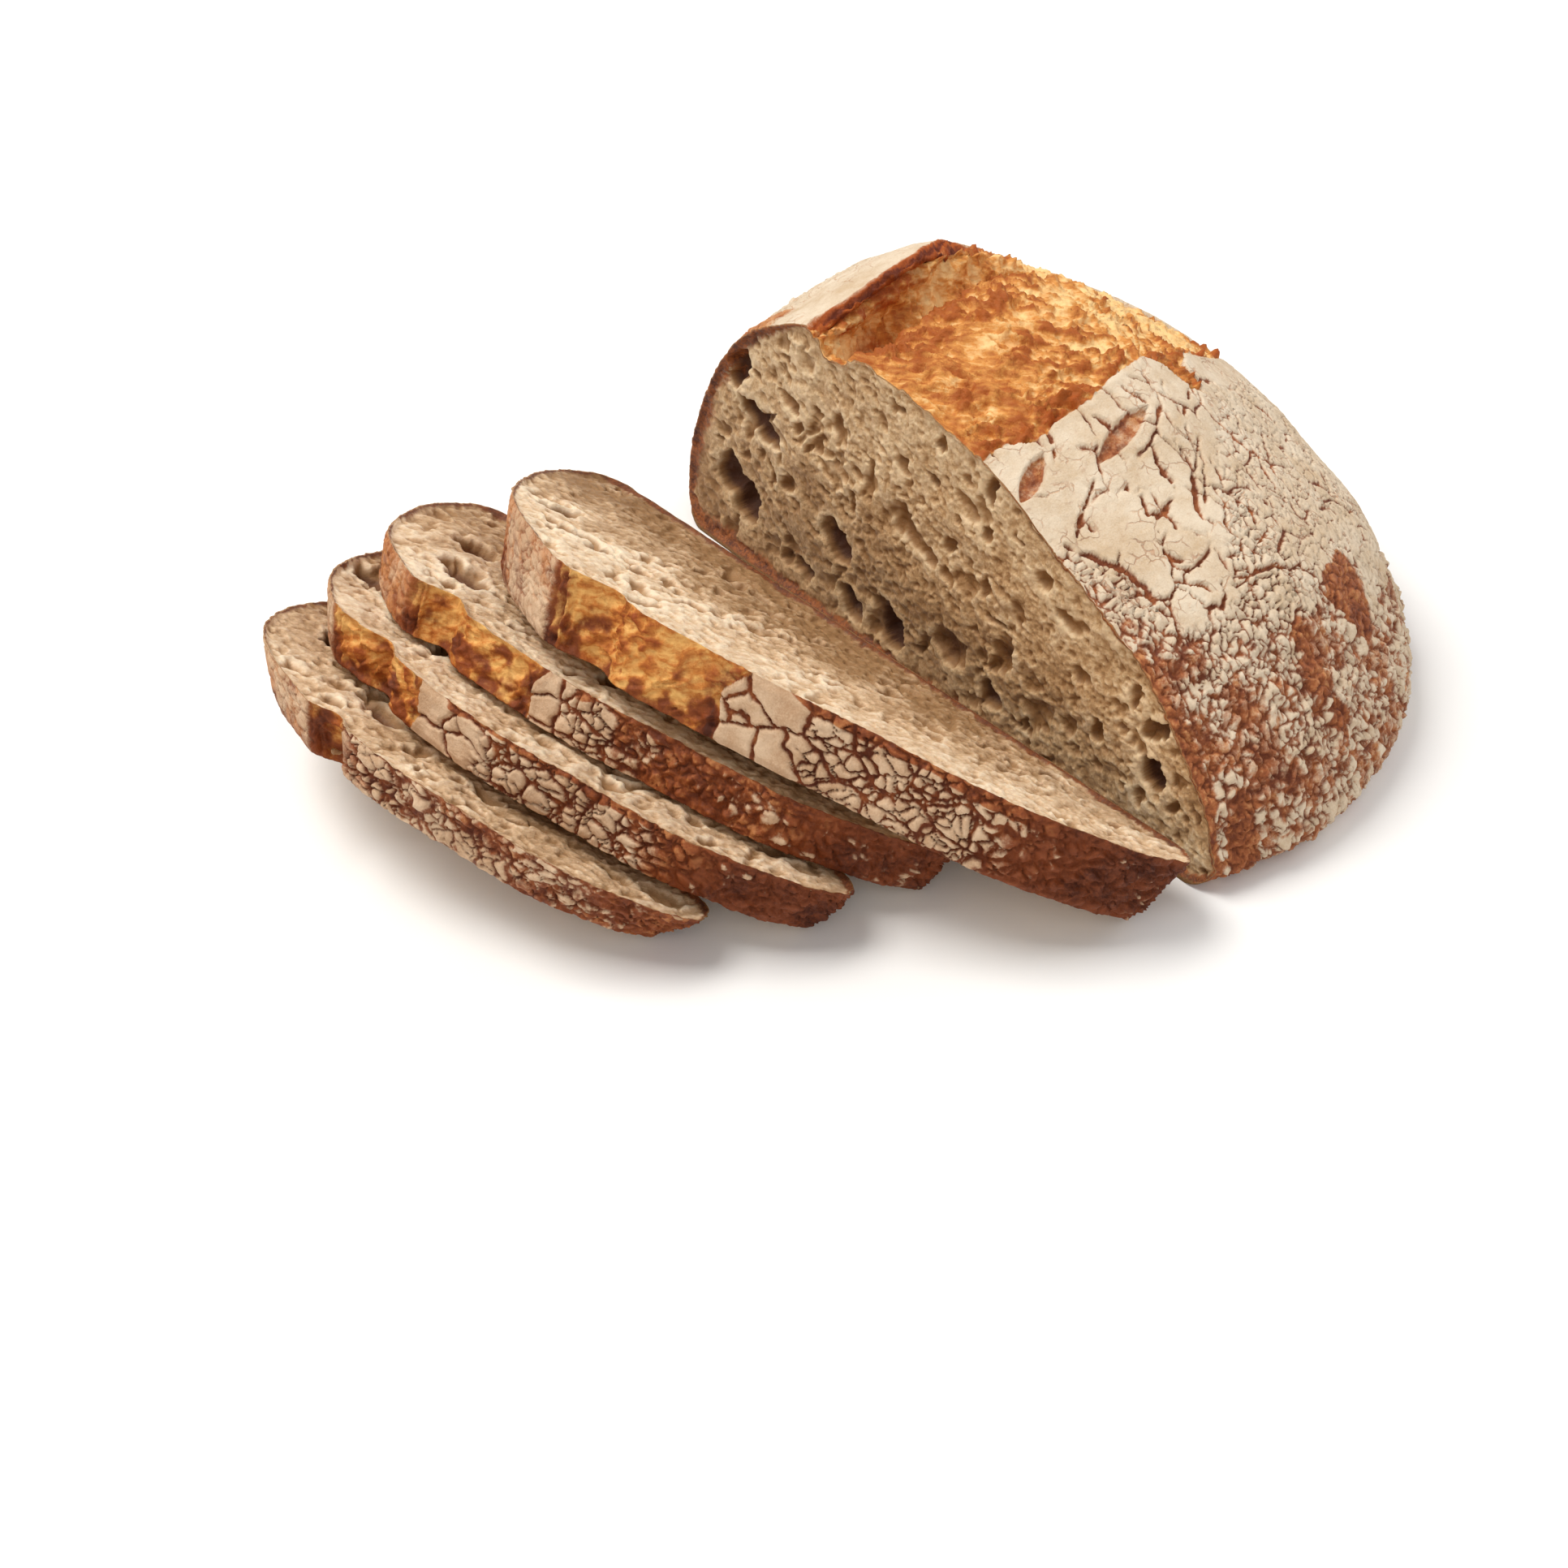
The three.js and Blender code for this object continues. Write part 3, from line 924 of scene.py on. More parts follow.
@dataclass
class CutFace:
    """A cut face of the bread, inside its closed outline, with the crumb's holes in it."""

    outline: Array
    along: Array
    inward: float
    bubbles: tuple[Bubble, ...]
    salt: int
    spacing: float
    deepest: float
    pores: float = 0.55
    grain: float = 1.0
    drawn_up: float = 1.0
    # How much darker the crumb is painted towards the bottom of the face: painted shade.
    painted_low_shade: float = 0.3
    crust_width: float = 1.1
    side_width: float = 0.0
    foot_width: float = 0.0
    medium_foam: Foam = ((0.8, 2.0, 4.0, 4.5), (2.8, 1.2, 2.2, 2.6))
    fine_foam: Foam = ((30.0, 0.55, 1.1, 1.3),)

    def crossings(self, heights: Array, across: Array) -> Array:
        """Tells which points of a regular grid lie inside the outline.

        Args:
            heights: The grid's heights.
            across: The grid's places across.

        Returns:
            True or false, heights by places across.
        """
        start, end = self.outline, np.roll(self.outline, -1, axis=0)
        inside = np.zeros((len(heights), len(across)), bool)
        for row, height in enumerate(heights):
            met = (start[:, 1] > height) != (end[:, 1] > height)
            a, b = start[met], end[met]
            where = a[:, 0] + (height - a[:, 1]) / (b[:, 1] - a[:, 1]) * (b[:, 0] - a[:, 0])
            inside[row] = np.searchsorted(np.sort(where), across) % 2 == 1
        return inside

    def from_rim(self, points: Array) -> Array:
        """Measures how far the points lie from the outline.

        Args:
            points: Across and up, two to a row.

        Returns:
            Distances in millimetres.
        """
        step, batch = 0.8, 20000
        ring = np.vstack([self.outline, self.outline[:1]])
        reached = distances(ring)
        ring = line_at(ring, reached, np.arange(0.0, reached[-1], step)).astype(np.float32)
        found = []
        for part in np.array_split(points.astype(np.float32), max(1, len(points) // batch)):
            square = (part[:, None, 0] - ring[None, :, 0]) ** 2 + (part[:, None, 1] - ring[None, :, 1]) ** 2
            found.append(np.sqrt(square.min(axis=1)))
        return np.concatenate(found).astype(float)

    def triangles(self) -> tuple[Array, Array, Array]:
        """Fills the outline with a regular grid and a band of triangles along its edge.

        Returns:
            The points, with the outline first; the four-cornered faces; the triangles.
        """
        step = self.spacing
        low, high = self.outline.min(0), self.outline.max(0)
        across = np.arange(low[0] - step, high[0] + 2 * step, step)
        heights = np.arange(low[1] - step, high[1] + 2 * step, step)
        inside = self.crossings(heights, across)
        grid = np.stack(np.meshgrid(across, heights), -1)
        clear = np.zeros(inside.shape, bool)
        clear[inside] = self.from_rim(grid[inside]) > 0.8 * step
        cells = np.logical_and.reduce(cell_corners(clear))
        used = np.zeros(clear.shape, bool)
        for row, column in ((0, 0), (1, 0), (1, 1), (0, 1)):
            used[row : row + cells.shape[0], column : column + cells.shape[1]] |= cells
        number = np.full(clear.shape, -1)
        number[used] = np.arange(used.sum()) + len(self.outline)
        points = np.vstack([self.outline, grid[used]])
        a, b, c, d = (corner[cells] for corner in cell_corners(number))
        quads = np.stack([a, d, c, b], -1)

        around = np.pad(cells, 1)
        full = np.logical_and.reduce(cell_corners(around))
        edge = np.flatnonzero((used & ~full).ravel())
        ring = np.arange(len(self.outline))
        chosen = np.concatenate([ring, number.ravel()[edge]])
        place_of = {int(name): place for place, name in enumerate(chosen)}
        sides = np.stack([ring, np.roll(ring, -1)], -1).tolist()
        sides += self.staircase(around, number, place_of)
        found = delaunay_2d_cdt([Vector(p) for p in points[chosen]], sides, [], 0, 1e-7)
        names = np.array([chosen[origin[0]] for origin in found[3]])
        shapes = names[np.array([shape for shape in found[2] if len(shape) == 3])]
        middle = points[shapes].mean(axis=1)
        column = np.floor((middle[:, 0] - across[0]) / step).astype(int)
        row = np.floor((middle[:, 1] - heights[0]) / step).astype(int)
        in_grid = cells[np.clip(row, 0, cells.shape[0] - 1), np.clip(column, 0, cells.shape[1] - 1)]
        kept = ~in_grid & self.encloses(middle)
        return points, quads, shapes[kept]

    def staircase(self, around: Array, number: Array, place_of: dict[int, int]) -> list[list[int]]:
        """Finds the edges between kept cells and the rest.

        Args:
            around: True where a cell is kept, with a rim of cells that aren't.
            number: The number of each point of the grid.
            place_of: The place of each numbered point among the chosen ones.

        Returns:
            Pairs of places among the chosen points.
        """
        edges = []
        for row, column in np.argwhere(around[1:, 1:-1] != around[:-1, 1:-1]):
            edges.append([number[row, column], number[row, column + 1]])
        for row, column in np.argwhere(around[1:-1, 1:] != around[1:-1, :-1]):
            edges.append([number[row, column], number[row + 1, column]])
        return [[place_of[int(a)], place_of[int(b)]] for a, b in edges]

    def encloses(self, points: Array) -> Array:
        """Tells which points lie inside the outline.

        Args:
            points: Across and up, two to a row.

        Returns:
            True or false for each point.
        """
        start, end = self.outline, np.roll(self.outline, -1, axis=0)
        met = (start[None, :, 1] > points[:, None, 1]) != (end[None, :, 1] > points[:, None, 1])
        rise = np.where(end[:, 1] == start[:, 1], 1.0, end[:, 1] - start[:, 1])
        slope = (end[:, 0] - start[:, 0]) / rise
        where = start[None, :, 0] + (points[:, None, 1] - start[None, :, 1]) * slope[None, :]
        return (met & (where > points[:, None, 0])).sum(axis=1) % 2 == 1

    def scattered(self, classes: Sequence[tuple[float, float, float, float]], salt: int) -> list[Bubble]:
        """Draws bubbles of the foam that the cut has opened.

        Args:
            classes: Number on a square centimetre, least and greatest half width, and how clear
                of the crust they keep, for each class.
            salt: Tells one set of draws from another.

        Returns:
            The bubbles, with how deep their middles lie.
        """
        random = np.random.default_rng(SEED * 1000 + self.salt * 10 + salt)
        low, high = self.outline.min(0), self.outline.max(0)
        found = []
        for per_area, small, large, clear in classes:
            places = random.uniform(low, high, (round((high - low).prod() / 100.0 * per_area), 2))
            spot = np.column_stack([places, np.full(len(places), 9.0 * salt)])
            likely = 0.72 + 0.9 * GRAIN.layers(spot, 24.0, 2, 465)
            kept = self.encloses(places) & (random.random(len(places)) < likely)
            places = places[kept]
            places = places[self.from_rim(places) > clear] if len(places) else places
            for across, up in places:
                size = small + (large - small) * random.random() ** 2.0
                stretch, sunk = random.uniform(0.7, 1.45), random.uniform(-0.6, 0.7)
                lean = random.uniform(-0.9, 0.5)
                tall = size / stretch * self.drawn_up
                found.append(Bubble(across, up, 1.1 * size * stretch, tall, sunk * size, lean))
        return sorted(found, key=lambda bubble: bubble.sunk)

    def opened(self, bubbles: Sequence[Bubble], places: Array, low: Array) -> Array:
        """How deep one sees through the opened bubbles.

        Args:
            bubbles: The bubbles, the nearest first.
            places: The raster's own places, bent so that the bubbles are irregular.
            low: The raster's first corner.

        Returns:
            Depth in millimetres at each point of the raster.
        """
        step = self.spacing
        depth = np.zeros(places.shape[:2])
        for bubble in bubbles:
            middle = np.array([bubble.across, bubble.up])
            reach = max(bubble.half_width, bubble.half_height) + 2.2
            first = np.maximum(((middle - reach - low) / step).astype(int), 0)
            last = ((middle + reach - low) / step).astype(int) + 2
            window = (slice(first[1], last[1]), slice(first[0], last[0]))
            cosine, sine = math.cos(bubble.lean), math.sin(bubble.lean)
            turned = (places[window] - middle) @ np.array([[cosine, -sine], [sine, cosine]])
            share = (turned[..., 0] / bubble.half_width) ** 2 + (turned[..., 1] / bubble.half_height) ** 2
            half = min(bubble.half_width, bubble.half_height) * clamp(1.0 - share) ** 0.45
            seen = depth[window]
            met = (share < 1.0) & (bubble.sunk - half <= seen + 0.1) & (bubble.sunk + half > seen)
            seen[met] = (bubble.sunk + half)[met]
        return depth

    def soften(self, depth: Array, times: int) -> Array:
        """Eases the steepest walls of the holes.

        Args:
            depth: Depth at each point of the raster.
            times: How often each point moves halfway to its neighbours' mean.

        Returns:
            The eased depth.
        """
        for _ in range(times):
            padded = np.pad(depth, 1, mode="edge")
            sides = padded[2:, 1:-1] + padded[:-2, 1:-1] + padded[1:-1, 2:] + padded[1:-1, :-2]
            depth = 0.5 * depth + 0.125 * sides
        return depth

    def carve(self, points: Array, rim: Array) -> tuple[Array, Array, Array]:
        """Opens the foam's bubbles and roughens what is left between them.

        Args:
            points: Across and up for each point of the face.
            rim: Distance of each point from the outline.

        Returns:
            How deep each point lies, how deep in a bubble it lies, and how far it stands out.
        """
        step, margin = self.spacing, 3.0
        low = self.outline.min(0) - margin
        count = np.ceil((self.outline.max(0) + margin - low) / step).astype(int) + 1
        flat = low + np.stack(np.meshgrid(np.arange(count[0]), np.arange(count[1])), -1) * step
        spot = np.column_stack([np.full(count.prod(), 40.0 * self.salt), flat.reshape(-1, 2)])
        drawn = spot / [1.0, 1.0, self.drawn_up]
        bent = GRAIN.bent(GRAIN.bent(spot, 5.0, 1.0, 401), 1.5, 0.38, 411)[:, 1:].reshape(flat.shape)
        torn = GRAIN.bent(GRAIN.bent(GRAIN.bent(spot, 7.0, 2.6, 421), 2.8, 1.1, 431), 1.3, 0.75, 441)
        torn = torn[:, 1:].reshape(flat.shape)
        large = self.soften(self.opened(sorted(self.bubbles, key=lambda bubble: bubble.sunk), torn, low), 1)
        medium = self.opened(self.scattered(self.medium_foam, 1), torn, low)
        small = self.opened(self.scattered(self.fine_foam, 2), bent, low)
        patchy = GRAIN.layers(spot, 16.0, 2, 485).reshape(large.shape)
        holes = self.soften(np.maximum(large, medium * np.clip(0.62 + 0.9 * patchy, 0.2, 1.0)), 1)
        depth = holes + self.pores * self.soften(small, 1) * blend(1.0, 0.7, smooth(holes, 0.0, 2.0))

        lumps = GRAIN.layers(drawn, 9.0, 2, 471) + 0.36 * GRAIN.layers(drawn, 3.2, 2, 475)
        shreds = 0.4 * GRAIN.layers(drawn, 1.1, 2, 481)
        rough = (0.8 + self.grain * (lumps + shreds)).reshape(depth.shape)
        depth = np.minimum(depth + np.maximum(rough, 0.0), self.deepest)
        # The crumb's height against its blurred surroundings; the finish paints recesses darker with it, as
        # painted shade.
        raised = self.soften(depth, round((1.7 / step) ** 2 / 0.25)) - depth
        place, inside = (points - low) / step, smooth(rim, 0.2, 1.8)
        sunk, pit = read_off(depth, place) * inside, read_off(holes, place) * inside
        return sunk, pit, read_off(raised, place)

    def patch(self, facing: float) -> Patch:
        """Makes the face as one patch.

        Args:
            facing: One where the face looks along +X, minus one where it looks along -X.

        Returns:
            The patch, marked with how deep in a hole each point lies, for painted shade in the holes;
            how raised the crumb is, less a painted shade towards the face's bottom, for painted shade
            in its recesses; and how near the crust.
        """
        points, quads, triangles = self.triangles()
        rim = self.from_rim(points)
        rim[: len(self.outline)] = 0.0
        depth, pit, raised = self.carve(points, rim)
        along = np.full(len(points), float(np.mean(self.along)))
        along[: len(self.outline)] = self.along
        spot = np.column_stack([depth + 40.0 * self.salt, points])
        ragged = [0.4 * GRAIN.layers(spot, 1.4, 2, 491 + 7 * axis) for axis in range(2)]
        moved = points + np.stack(ragged, -1) * smooth(rim, 0.5, 2.0)[:, None]
        placed = np.column_stack([along + self.inward * depth, moved])
        faces = [quads, triangles] if facing > 0 else [quads[:, ::-1], triangles[:, ::-1]]
        torn_rim = bell(points[:, 0], 14.0, 34.0) * smooth(points[:, 1], 40.0, 55.0)
        crust = self.crust_width * (1.0 - 0.8 * torn_rim)
        crust = crust + self.side_width * smooth(points[:, 0], 50.0, 82.0)
        crust = crust + self.foot_width * fade(points[:, 1], 1.0, 5.0)
        crust = crust * (1.0 + 0.7 * GRAIN.layers(spot, 5.0, 3, 501))
        low, left = fade(points[:, 1], 8.0, 66.0), smooth(points[:, 0], -80.0, -10.0)
        # Painted shade: darker towards the bottom of the face, less so towards its minus-across end.
        painted_shade = self.painted_low_shade * low * blend(0.35, 1.0, left)
        marks = {
            # Depth in the holes, which the finish turns into painted shade.
            Mark.PIT: clamp(pit / 4.0),
            Mark.RAISED: clamp(0.56 + 0.38 * np.clip(raised, -1.2, 0.5) - painted_shade),
            Mark.RIM: np.exp(-((rim / np.maximum(crust, 0.25)) ** 2)),
        }
        return Patch(placed, faces, points, Dress.CRUMB, marks)


# ---------------------------------------------------------------------------- the pieces


def skirt(spacing: float) -> tuple[Array, Array]:
    """The rounded bottom edge, from the waist, which is left out, down to the floor.

    Args:
        spacing: Millimetres from point to point.

    Returns:
        How far in and how high each point lies.
    """
    length = math.pi / 2 * math.hypot(FORM.underside_inset, FORM.waist_height) / math.sqrt(2)
    angles = np.linspace(0.0, math.pi / 2, max(3, round(length / spacing)) + 1)[1:]
    return FORM.underside_inset * (1.0 - np.cos(angles)), FORM.waist_height * (1.0 - np.sin(angles))


@dataclass
class StandingHalf:
    """The half of the loaf that still stands, from the cut face to the tip of the heel."""

    name: str = "loaf_half"
    node: str = "loaf"
    slot: str = "loaf_bread"
    floor_columns: int = 41
    burst: Burst = Burst(ear=0.42, lip=51.0, foot=40.0)
    flour_edge: Line = (
        (-5, -18), (5.5, -15.5), (12, -17.2), (19, -18), (22, -16.6), (34, -17.2), (41, -15.2), (50, -13.5),
        (58, -10.8), (62, -13.8), (65, -22), (69, -25), (73, -12), (80, -6), (92, -4), (110, 6), (129, 20),
    )
    plates_end: Line = (
        (-5, -34), (1, -40), (7, -46), (12, -57), (16, -70), (31, -71),
        (37, -60), (46, -52), (56, -40), (66, -30), (80, -20), (129, 0),
    )
    pale_end: Line = (
        (-5, -52), (6, -62), (16, -72), (32, -74), (46, -78), (64, -79), (84, -86), (129, -90),
    )
    scorings: tuple[Scoring, ...] = (
        Scoring((0.5, -29.5), (14.8, -21.6), 2.6),
        Scoring((23.5, -30.2), (46.0, -25.2), 2.7),
    )
    cracks: tuple[Crack, ...] = (
        Crack(((45.6, -34), (45.5, -39), (43.6, -43.5), (39.7, -47.7), (38.2, -52), (40.3, -54.4)), 1.15),
        Crack(((38.7, -32.6), (36.9, -37.4), (36.8, -41.7), (36.4, -44.4)), 0.7),
        Crack((
            (23.6, -31.6), (26.7, -34.3), (25.5, -37.2), (27.2, -40.9),
            (26.5, -44.6), (28.7, -46.6), (32.6, -54.4),
        ), 0.75),
        Crack((
            (25.9, -45.2), (25.5, -50.1), (23.2, -52.8), (24.6, -56.2), (27.1, -58.9), (31.4, -62.8),
        ), 0.75),
        Crack(((34.3, -45.3), (31.5, -45.6), (28.7, -46.6), (25.9, -45.2)), 0.7),
        Crack(((22.2, -30.9), (16.1, -35.1), (7.5, -41.7)), 0.5),
        Crack((
            (1, -40), (5.4, -43.6), (7, -47), (10, -51),
            (12.8, -54.4), (13.7, -58.7), (12.5, -63.5), (15.7, -70.3),
        ), 1.2),
        Crack(((16.7, -69.2), (22.3, -69.2), (26.5, -69.9), (30.2, -67.9), (31.3, -65.1)), 1.1),
        Crack(((59.6, -14), (57.5, -18), (55.1, -22.3), (54.9, -26.6), (53.8, -30.3)), 0.7),
        Crack(((42.8, -16.5), (43.9, -20.2), (45.9, -23.1), (46.0, -27.0)), 0.75),
        Crack(((65.0, -21.3), (60, -26), (53.3, -32.0), (49.8, -36.4), (47, -41)), 0.6),
        Crack(((71.4, -41.8), (69, -47), (68.2, -53.3), (68.4, -59.2), (66, -65)), 0.6),
        Crack(((68.4, -35.3), (64.1, -41.0), (62.1, -49.7), (58, -57), (57, -63)), 0.6),
        Crack(((51, -38), (52, -44), (50, -50), (52, -57), (49, -64)), 0.55),
        Crack(((31, -20), (33, -23), (31.5, -26)), 0.5),
        Crack(((17.5, -17), (16.8, -21.5), (15.2, -24)), 0.7),
    )
    bare_patches: tuple[Triple, ...] = (
        (70.0, -80.5, 8.5), (64.0, -77.0, 4.0), (43.0, -82.0, 3.2),
        (43.0, -89.0, 3.2), (46.0, -96.0, 3.0), (8.0, -100.0, 4.5),
    )
    bubbles: tuple[Bubble, ...] = (
        Bubble(79.5, 59.0, 7.5, 4.0, 1.0, -0.8),
        Bubble(72.0, 46.5, 9.5, 4.2, 1.0, 0.5),
        Bubble(84.0, 23.5, 6.5, 7.0, 0.0),
        Bubble(77.5, 18.5, 6.5, 7.0, 2.5, 0.3),
        Bubble(37.5, 24.5, 6.0, 5.0, 1.0, 0.6),
        Bubble(41.0, 27.0, 4.0, 4.5, -0.5),
        Bubble(51.6, 8.5, 5.5, 4.0, 0.5),
        Bubble(60.0, 9.5, 3.5, 3.0, 0.0),
        Bubble(32.8, 8.4, 4.2, 4.6, 0.8),
        Bubble(15.4, 9.6, 7.2, 6.2, 3.0, 0.2),
        Bubble(20.0, 13.0, 4.0, 4.5, 0.0),
        Bubble(-6.6, 16.7, 6.5, 5.0, -1.6),
        Bubble(-27.5, 27.4, 3.6, 5.8, -0.5),
        Bubble(-24.2, 22.5, 2.6, 3.0, 0.2),
        Bubble(10.1, 44.8, 9.5, 5.0, -2.2, 0.5),
        Bubble(2.0, 41.5, 4.0, 3.0, -0.6, 0.5),
        Bubble(37.2, 59.9, 3.5, 6.5, -1.3, 0.2),
        Bubble(25.0, 51.0, 3.0, 5.0, -1.2, 0.3),
        Bubble(-4.5, 46.9, 2.0, 2.1, 0.5),
        Bubble(-31.0, 41.1, 2.8, 1.7, 0.4),
        Bubble(-18.5, 41.0, 2.5, 2.8, 0.0),
        Bubble(-24.2, 10.7, 4.8, 3.2, 1.0),
        Bubble(-39.6, 15.6, 7.0, 3.2, -1.0, 0.4),
        Bubble(-78.6, 21.4, 4.2, 5.2, 2.5, 0.4),
        Bubble(-87.0, 21.2, 4.5, 1.6, 2.0),
        Bubble(-48.5, 49.3, 5.0, 2.4, -0.3),
        Bubble(-39.6, 56.3, 3.6, 2.8, -0.6),
        Bubble(-12.0, 62.0, 4.5, 2.8, -1.2, 0.5),
        Bubble(-55.0, 35.0, 4.0, 2.6, -0.4, 0.4),
    )

    def stations(self) -> Array:
        """Finds places along the loaf with even steps over its surface.

        Returns:
            The places, from the cut to the tip of the heel.
        """
        fine = np.linspace(0.0, 1.0, 4000)
        along = FORM.heel_length * (1.0 - (1.0 - fine) ** 2.2)
        step = np.hypot(np.diff(along), FORM.half_width * np.diff(FORM.plan_width(along)))
        reached = np.append(0.0, np.cumsum(step))
        even = np.linspace(0.0, reached[-1], round(reached[-1] / CRUST_SPACING) + 1)
        return np.interp(even, reached, along)

    def smooth_crust(self, stations: Array) -> tuple[Array, Array]:
        """The crust without its relief, from the floor on the right to the floor on the left.

        Args:
            stations: Places along the loaf.

        Returns:
            Points, rows by columns by three, and the place across for each column.
        """
        count = round(FORM.crust_length / CRUST_SPACING)
        line = FORM.crust_at(np.linspace(0.0, 1.0, count + 1))
        width, height = FORM.plan_width(stations), FORM.crown_height(stations)
        ear = FORM.ear_strength(stations, self.burst.ear)
        section = FORM.section(line[None], (width[:, None], height[:, None]), ear[:, None], self.burst)
        crust = np.dstack([np.repeat(stations[:, None], count + 1, 1), section])

        plan = np.stack([stations, -FORM.half_width * width], -1)
        whole = np.vstack([plan, (plan * [1.0, -1.0])[-2::-1]])
        ahead = np.gradient(whole, axis=0)
        normal = unit(np.stack([ahead[:, 1], -ahead[:, 0]], -1))[: len(stations)]
        normal[0] = (0.0, -1.0)
        inset, up = skirt(CRUST_SPACING)
        sides = []
        for side in (1.0, -1.0):
            x = plan[:, :1] - normal[:, :1] * inset
            y = (plan[:, 1:] - normal[:, 1:] * inset) * side
            sides.append(np.dstack([x, y, np.repeat(up[None], len(stations), 0)]))
        points = np.concatenate([sides[0][:, ::-1], crust, sides[1]], axis=1)
        under = np.full(len(inset), FORM.half_width)
        return points, np.concatenate([-under, line[:, 0], under])

    def baked(self, points: Array, normals: Array, along: Array, across: Array) -> CrustPlace:
        """Works out how each part of the crust was floured and baked.

        Args:
            points: The smooth crust, rows by columns by three.
            normals: Its normals.
            along: Places along the loaf.
            across: Places across the crust line.

        Returns:
            The places, one entry for each point.
        """
        spot, x, a = points.reshape(-1, 3), along.ravel(), across.ravel()
        cloud = GRAIN.layers(spot, 15.0, 3, 631)
        lines = (self.flour_edge, self.plates_end, self.pale_end)
        edge, plates, pale = (np.interp(x, *np.array(line).T) for line in lines)
        right, wide = a < edge, 8.0 * cloud
        crackled = fade(a - plates + 4.0 * cloud, -2.5, 2.5)
        crackle = np.where(right, crackled, smooth(a + 5.0 * cloud, 60, 70))
        low = np.where(right, fade(a - pale + wide, -4.0, 4.0), smooth(a + wide, 66, 80))
        dust = np.where(right, blend(1.1, 0.5, low), blend(1.1, 0.1, smooth(a, 72.0, 84.0)))
        for along_at, across_at, radius in self.bare_patches:
            away = np.hypot(x - along_at, a - across_at) + 2.5 * GRAIN.layers(spot, 5.0, 3, 641)
            dust = dust - 0.9 * fade(away, radius - 2.0, radius + 1.5)
        bare = smooth(-a, 66.0, 78.0) * fade(x + 3.0 * cloud, 1.6, 4.0)
        bare = bare + smooth(a, 58.0, 70.0) * fade(x + 3.0 * cloud, 6.0, 12.0)
        return CrustPlace(
            points=spot,
            normals=normals.reshape(-1, 3),
            along=x,
            across=a,
            ear=FORM.ear_strength(x, self.burst.ear),
            edge=edge,
            lip=blend(self.burst.lip + 7.0 * smooth(x, 34.0, 60.0), 12.0, smooth(x, 74.0, 118.0)),
            crackle=crackle,
            low=low,
            dust=dust - bare,
            calm=np.where(right, smooth(x + 4.0 * cloud, 48.0, 60.0), 0.6) * (1.0 - low),
            golden=0.26 - 0.5 * smooth(x + 10.0 * cloud, 14.0, 58.0),
            dark=np.zeros(len(x)),
        )

    def patches(self) -> list[Patch]:
        """Makes the crust, the underside and the cut face.

        Returns:
            The patches, which meet at their edges.
        """
        stations = self.stations()
        points, line = self.smooth_crust(stations)
        rows, columns = points.shape[:2]
        normals = grid_normals(points)
        normals[0, :, 0] = 0.0
        normals = unit(normals)
        along = np.repeat(stations[:, None], columns, 1)
        place = self.baked(points, normals, along, np.tile(line, (rows, 1)))
        relief = CrustRelief(self.burst, scorings=self.scorings, cracks=self.cracks)
        height, marks = relief.shape(place)
        heel = fade(along, FORM.heel_length - 7.0, FORM.heel_length - 1.0)
        calm = smooth(points[..., 2], 0.5, 5.0) * heel * blend(0.45, 1.0, smooth(along, 0.3, 2.5))
        calm *= 1.0 - 0.5 * smooth(place.across, 72.0, 84.0).reshape(along.shape)
        shaped = points + normals * (height.reshape(rows, columns) * calm)[..., None]
        shaped[..., 2] = np.maximum(shaped[..., 2], 0.0)
        torn_out = 1.8 * fade(shaped[0, :, 2], 0.0, 5.0)
        shaped[0, :, 0] = 0.2 + 0.2 * GRAIN.layers(shaped[0], 3.0, 2, 601) - torn_out
        flat = unrolled(points, CRUST_SPACING)
        crust = Patch(shaped.reshape(-1, 3), [grid_faces(rows, columns)], flat, Dress.CRUST, marks)

        steps = np.linspace(0.0, 1.0, self.floor_columns)[None, :, None]
        floor = blend(shaped[:, :1], shaped[:, -1:], steps)
        quads = grid_faces(rows, floor.shape[1], flipped=True)
        under = Patch(floor.reshape(-1, 3), [quads], floor[..., :2].reshape(-1, 2), Dress.CRUST)
        ring = np.vstack([shaped[0], floor[0, -2:0:-1]])
        face = CutFace(
            outline=ring[:, 1:],
            along=ring[:, 0],
            inward=1.0,
            bubbles=self.bubbles,
            salt=1,
            spacing=CRUMB_SPACING,
            deepest=15.0,
            side_width=3.2,
            foot_width=1.4,
        )
        return [crust, under, face.patch(-1.0)]

    def build(self, shift: Vector, finishes: Sequence[bpy.types.Material]) -> bpy.types.Object:
        """Builds the standing half and lets it stand for its node.

        Args:
            shift: Where the millimetre frame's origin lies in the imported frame, in metres.
            finishes: The materials, in the order of Dress.

        Returns:
            The piece.
        """
        piece = BreadMesh(self.name, self.patches()).build(shift, Matrix.Identity(4), finishes)
        stand_for(piece, self.node)
        return piece


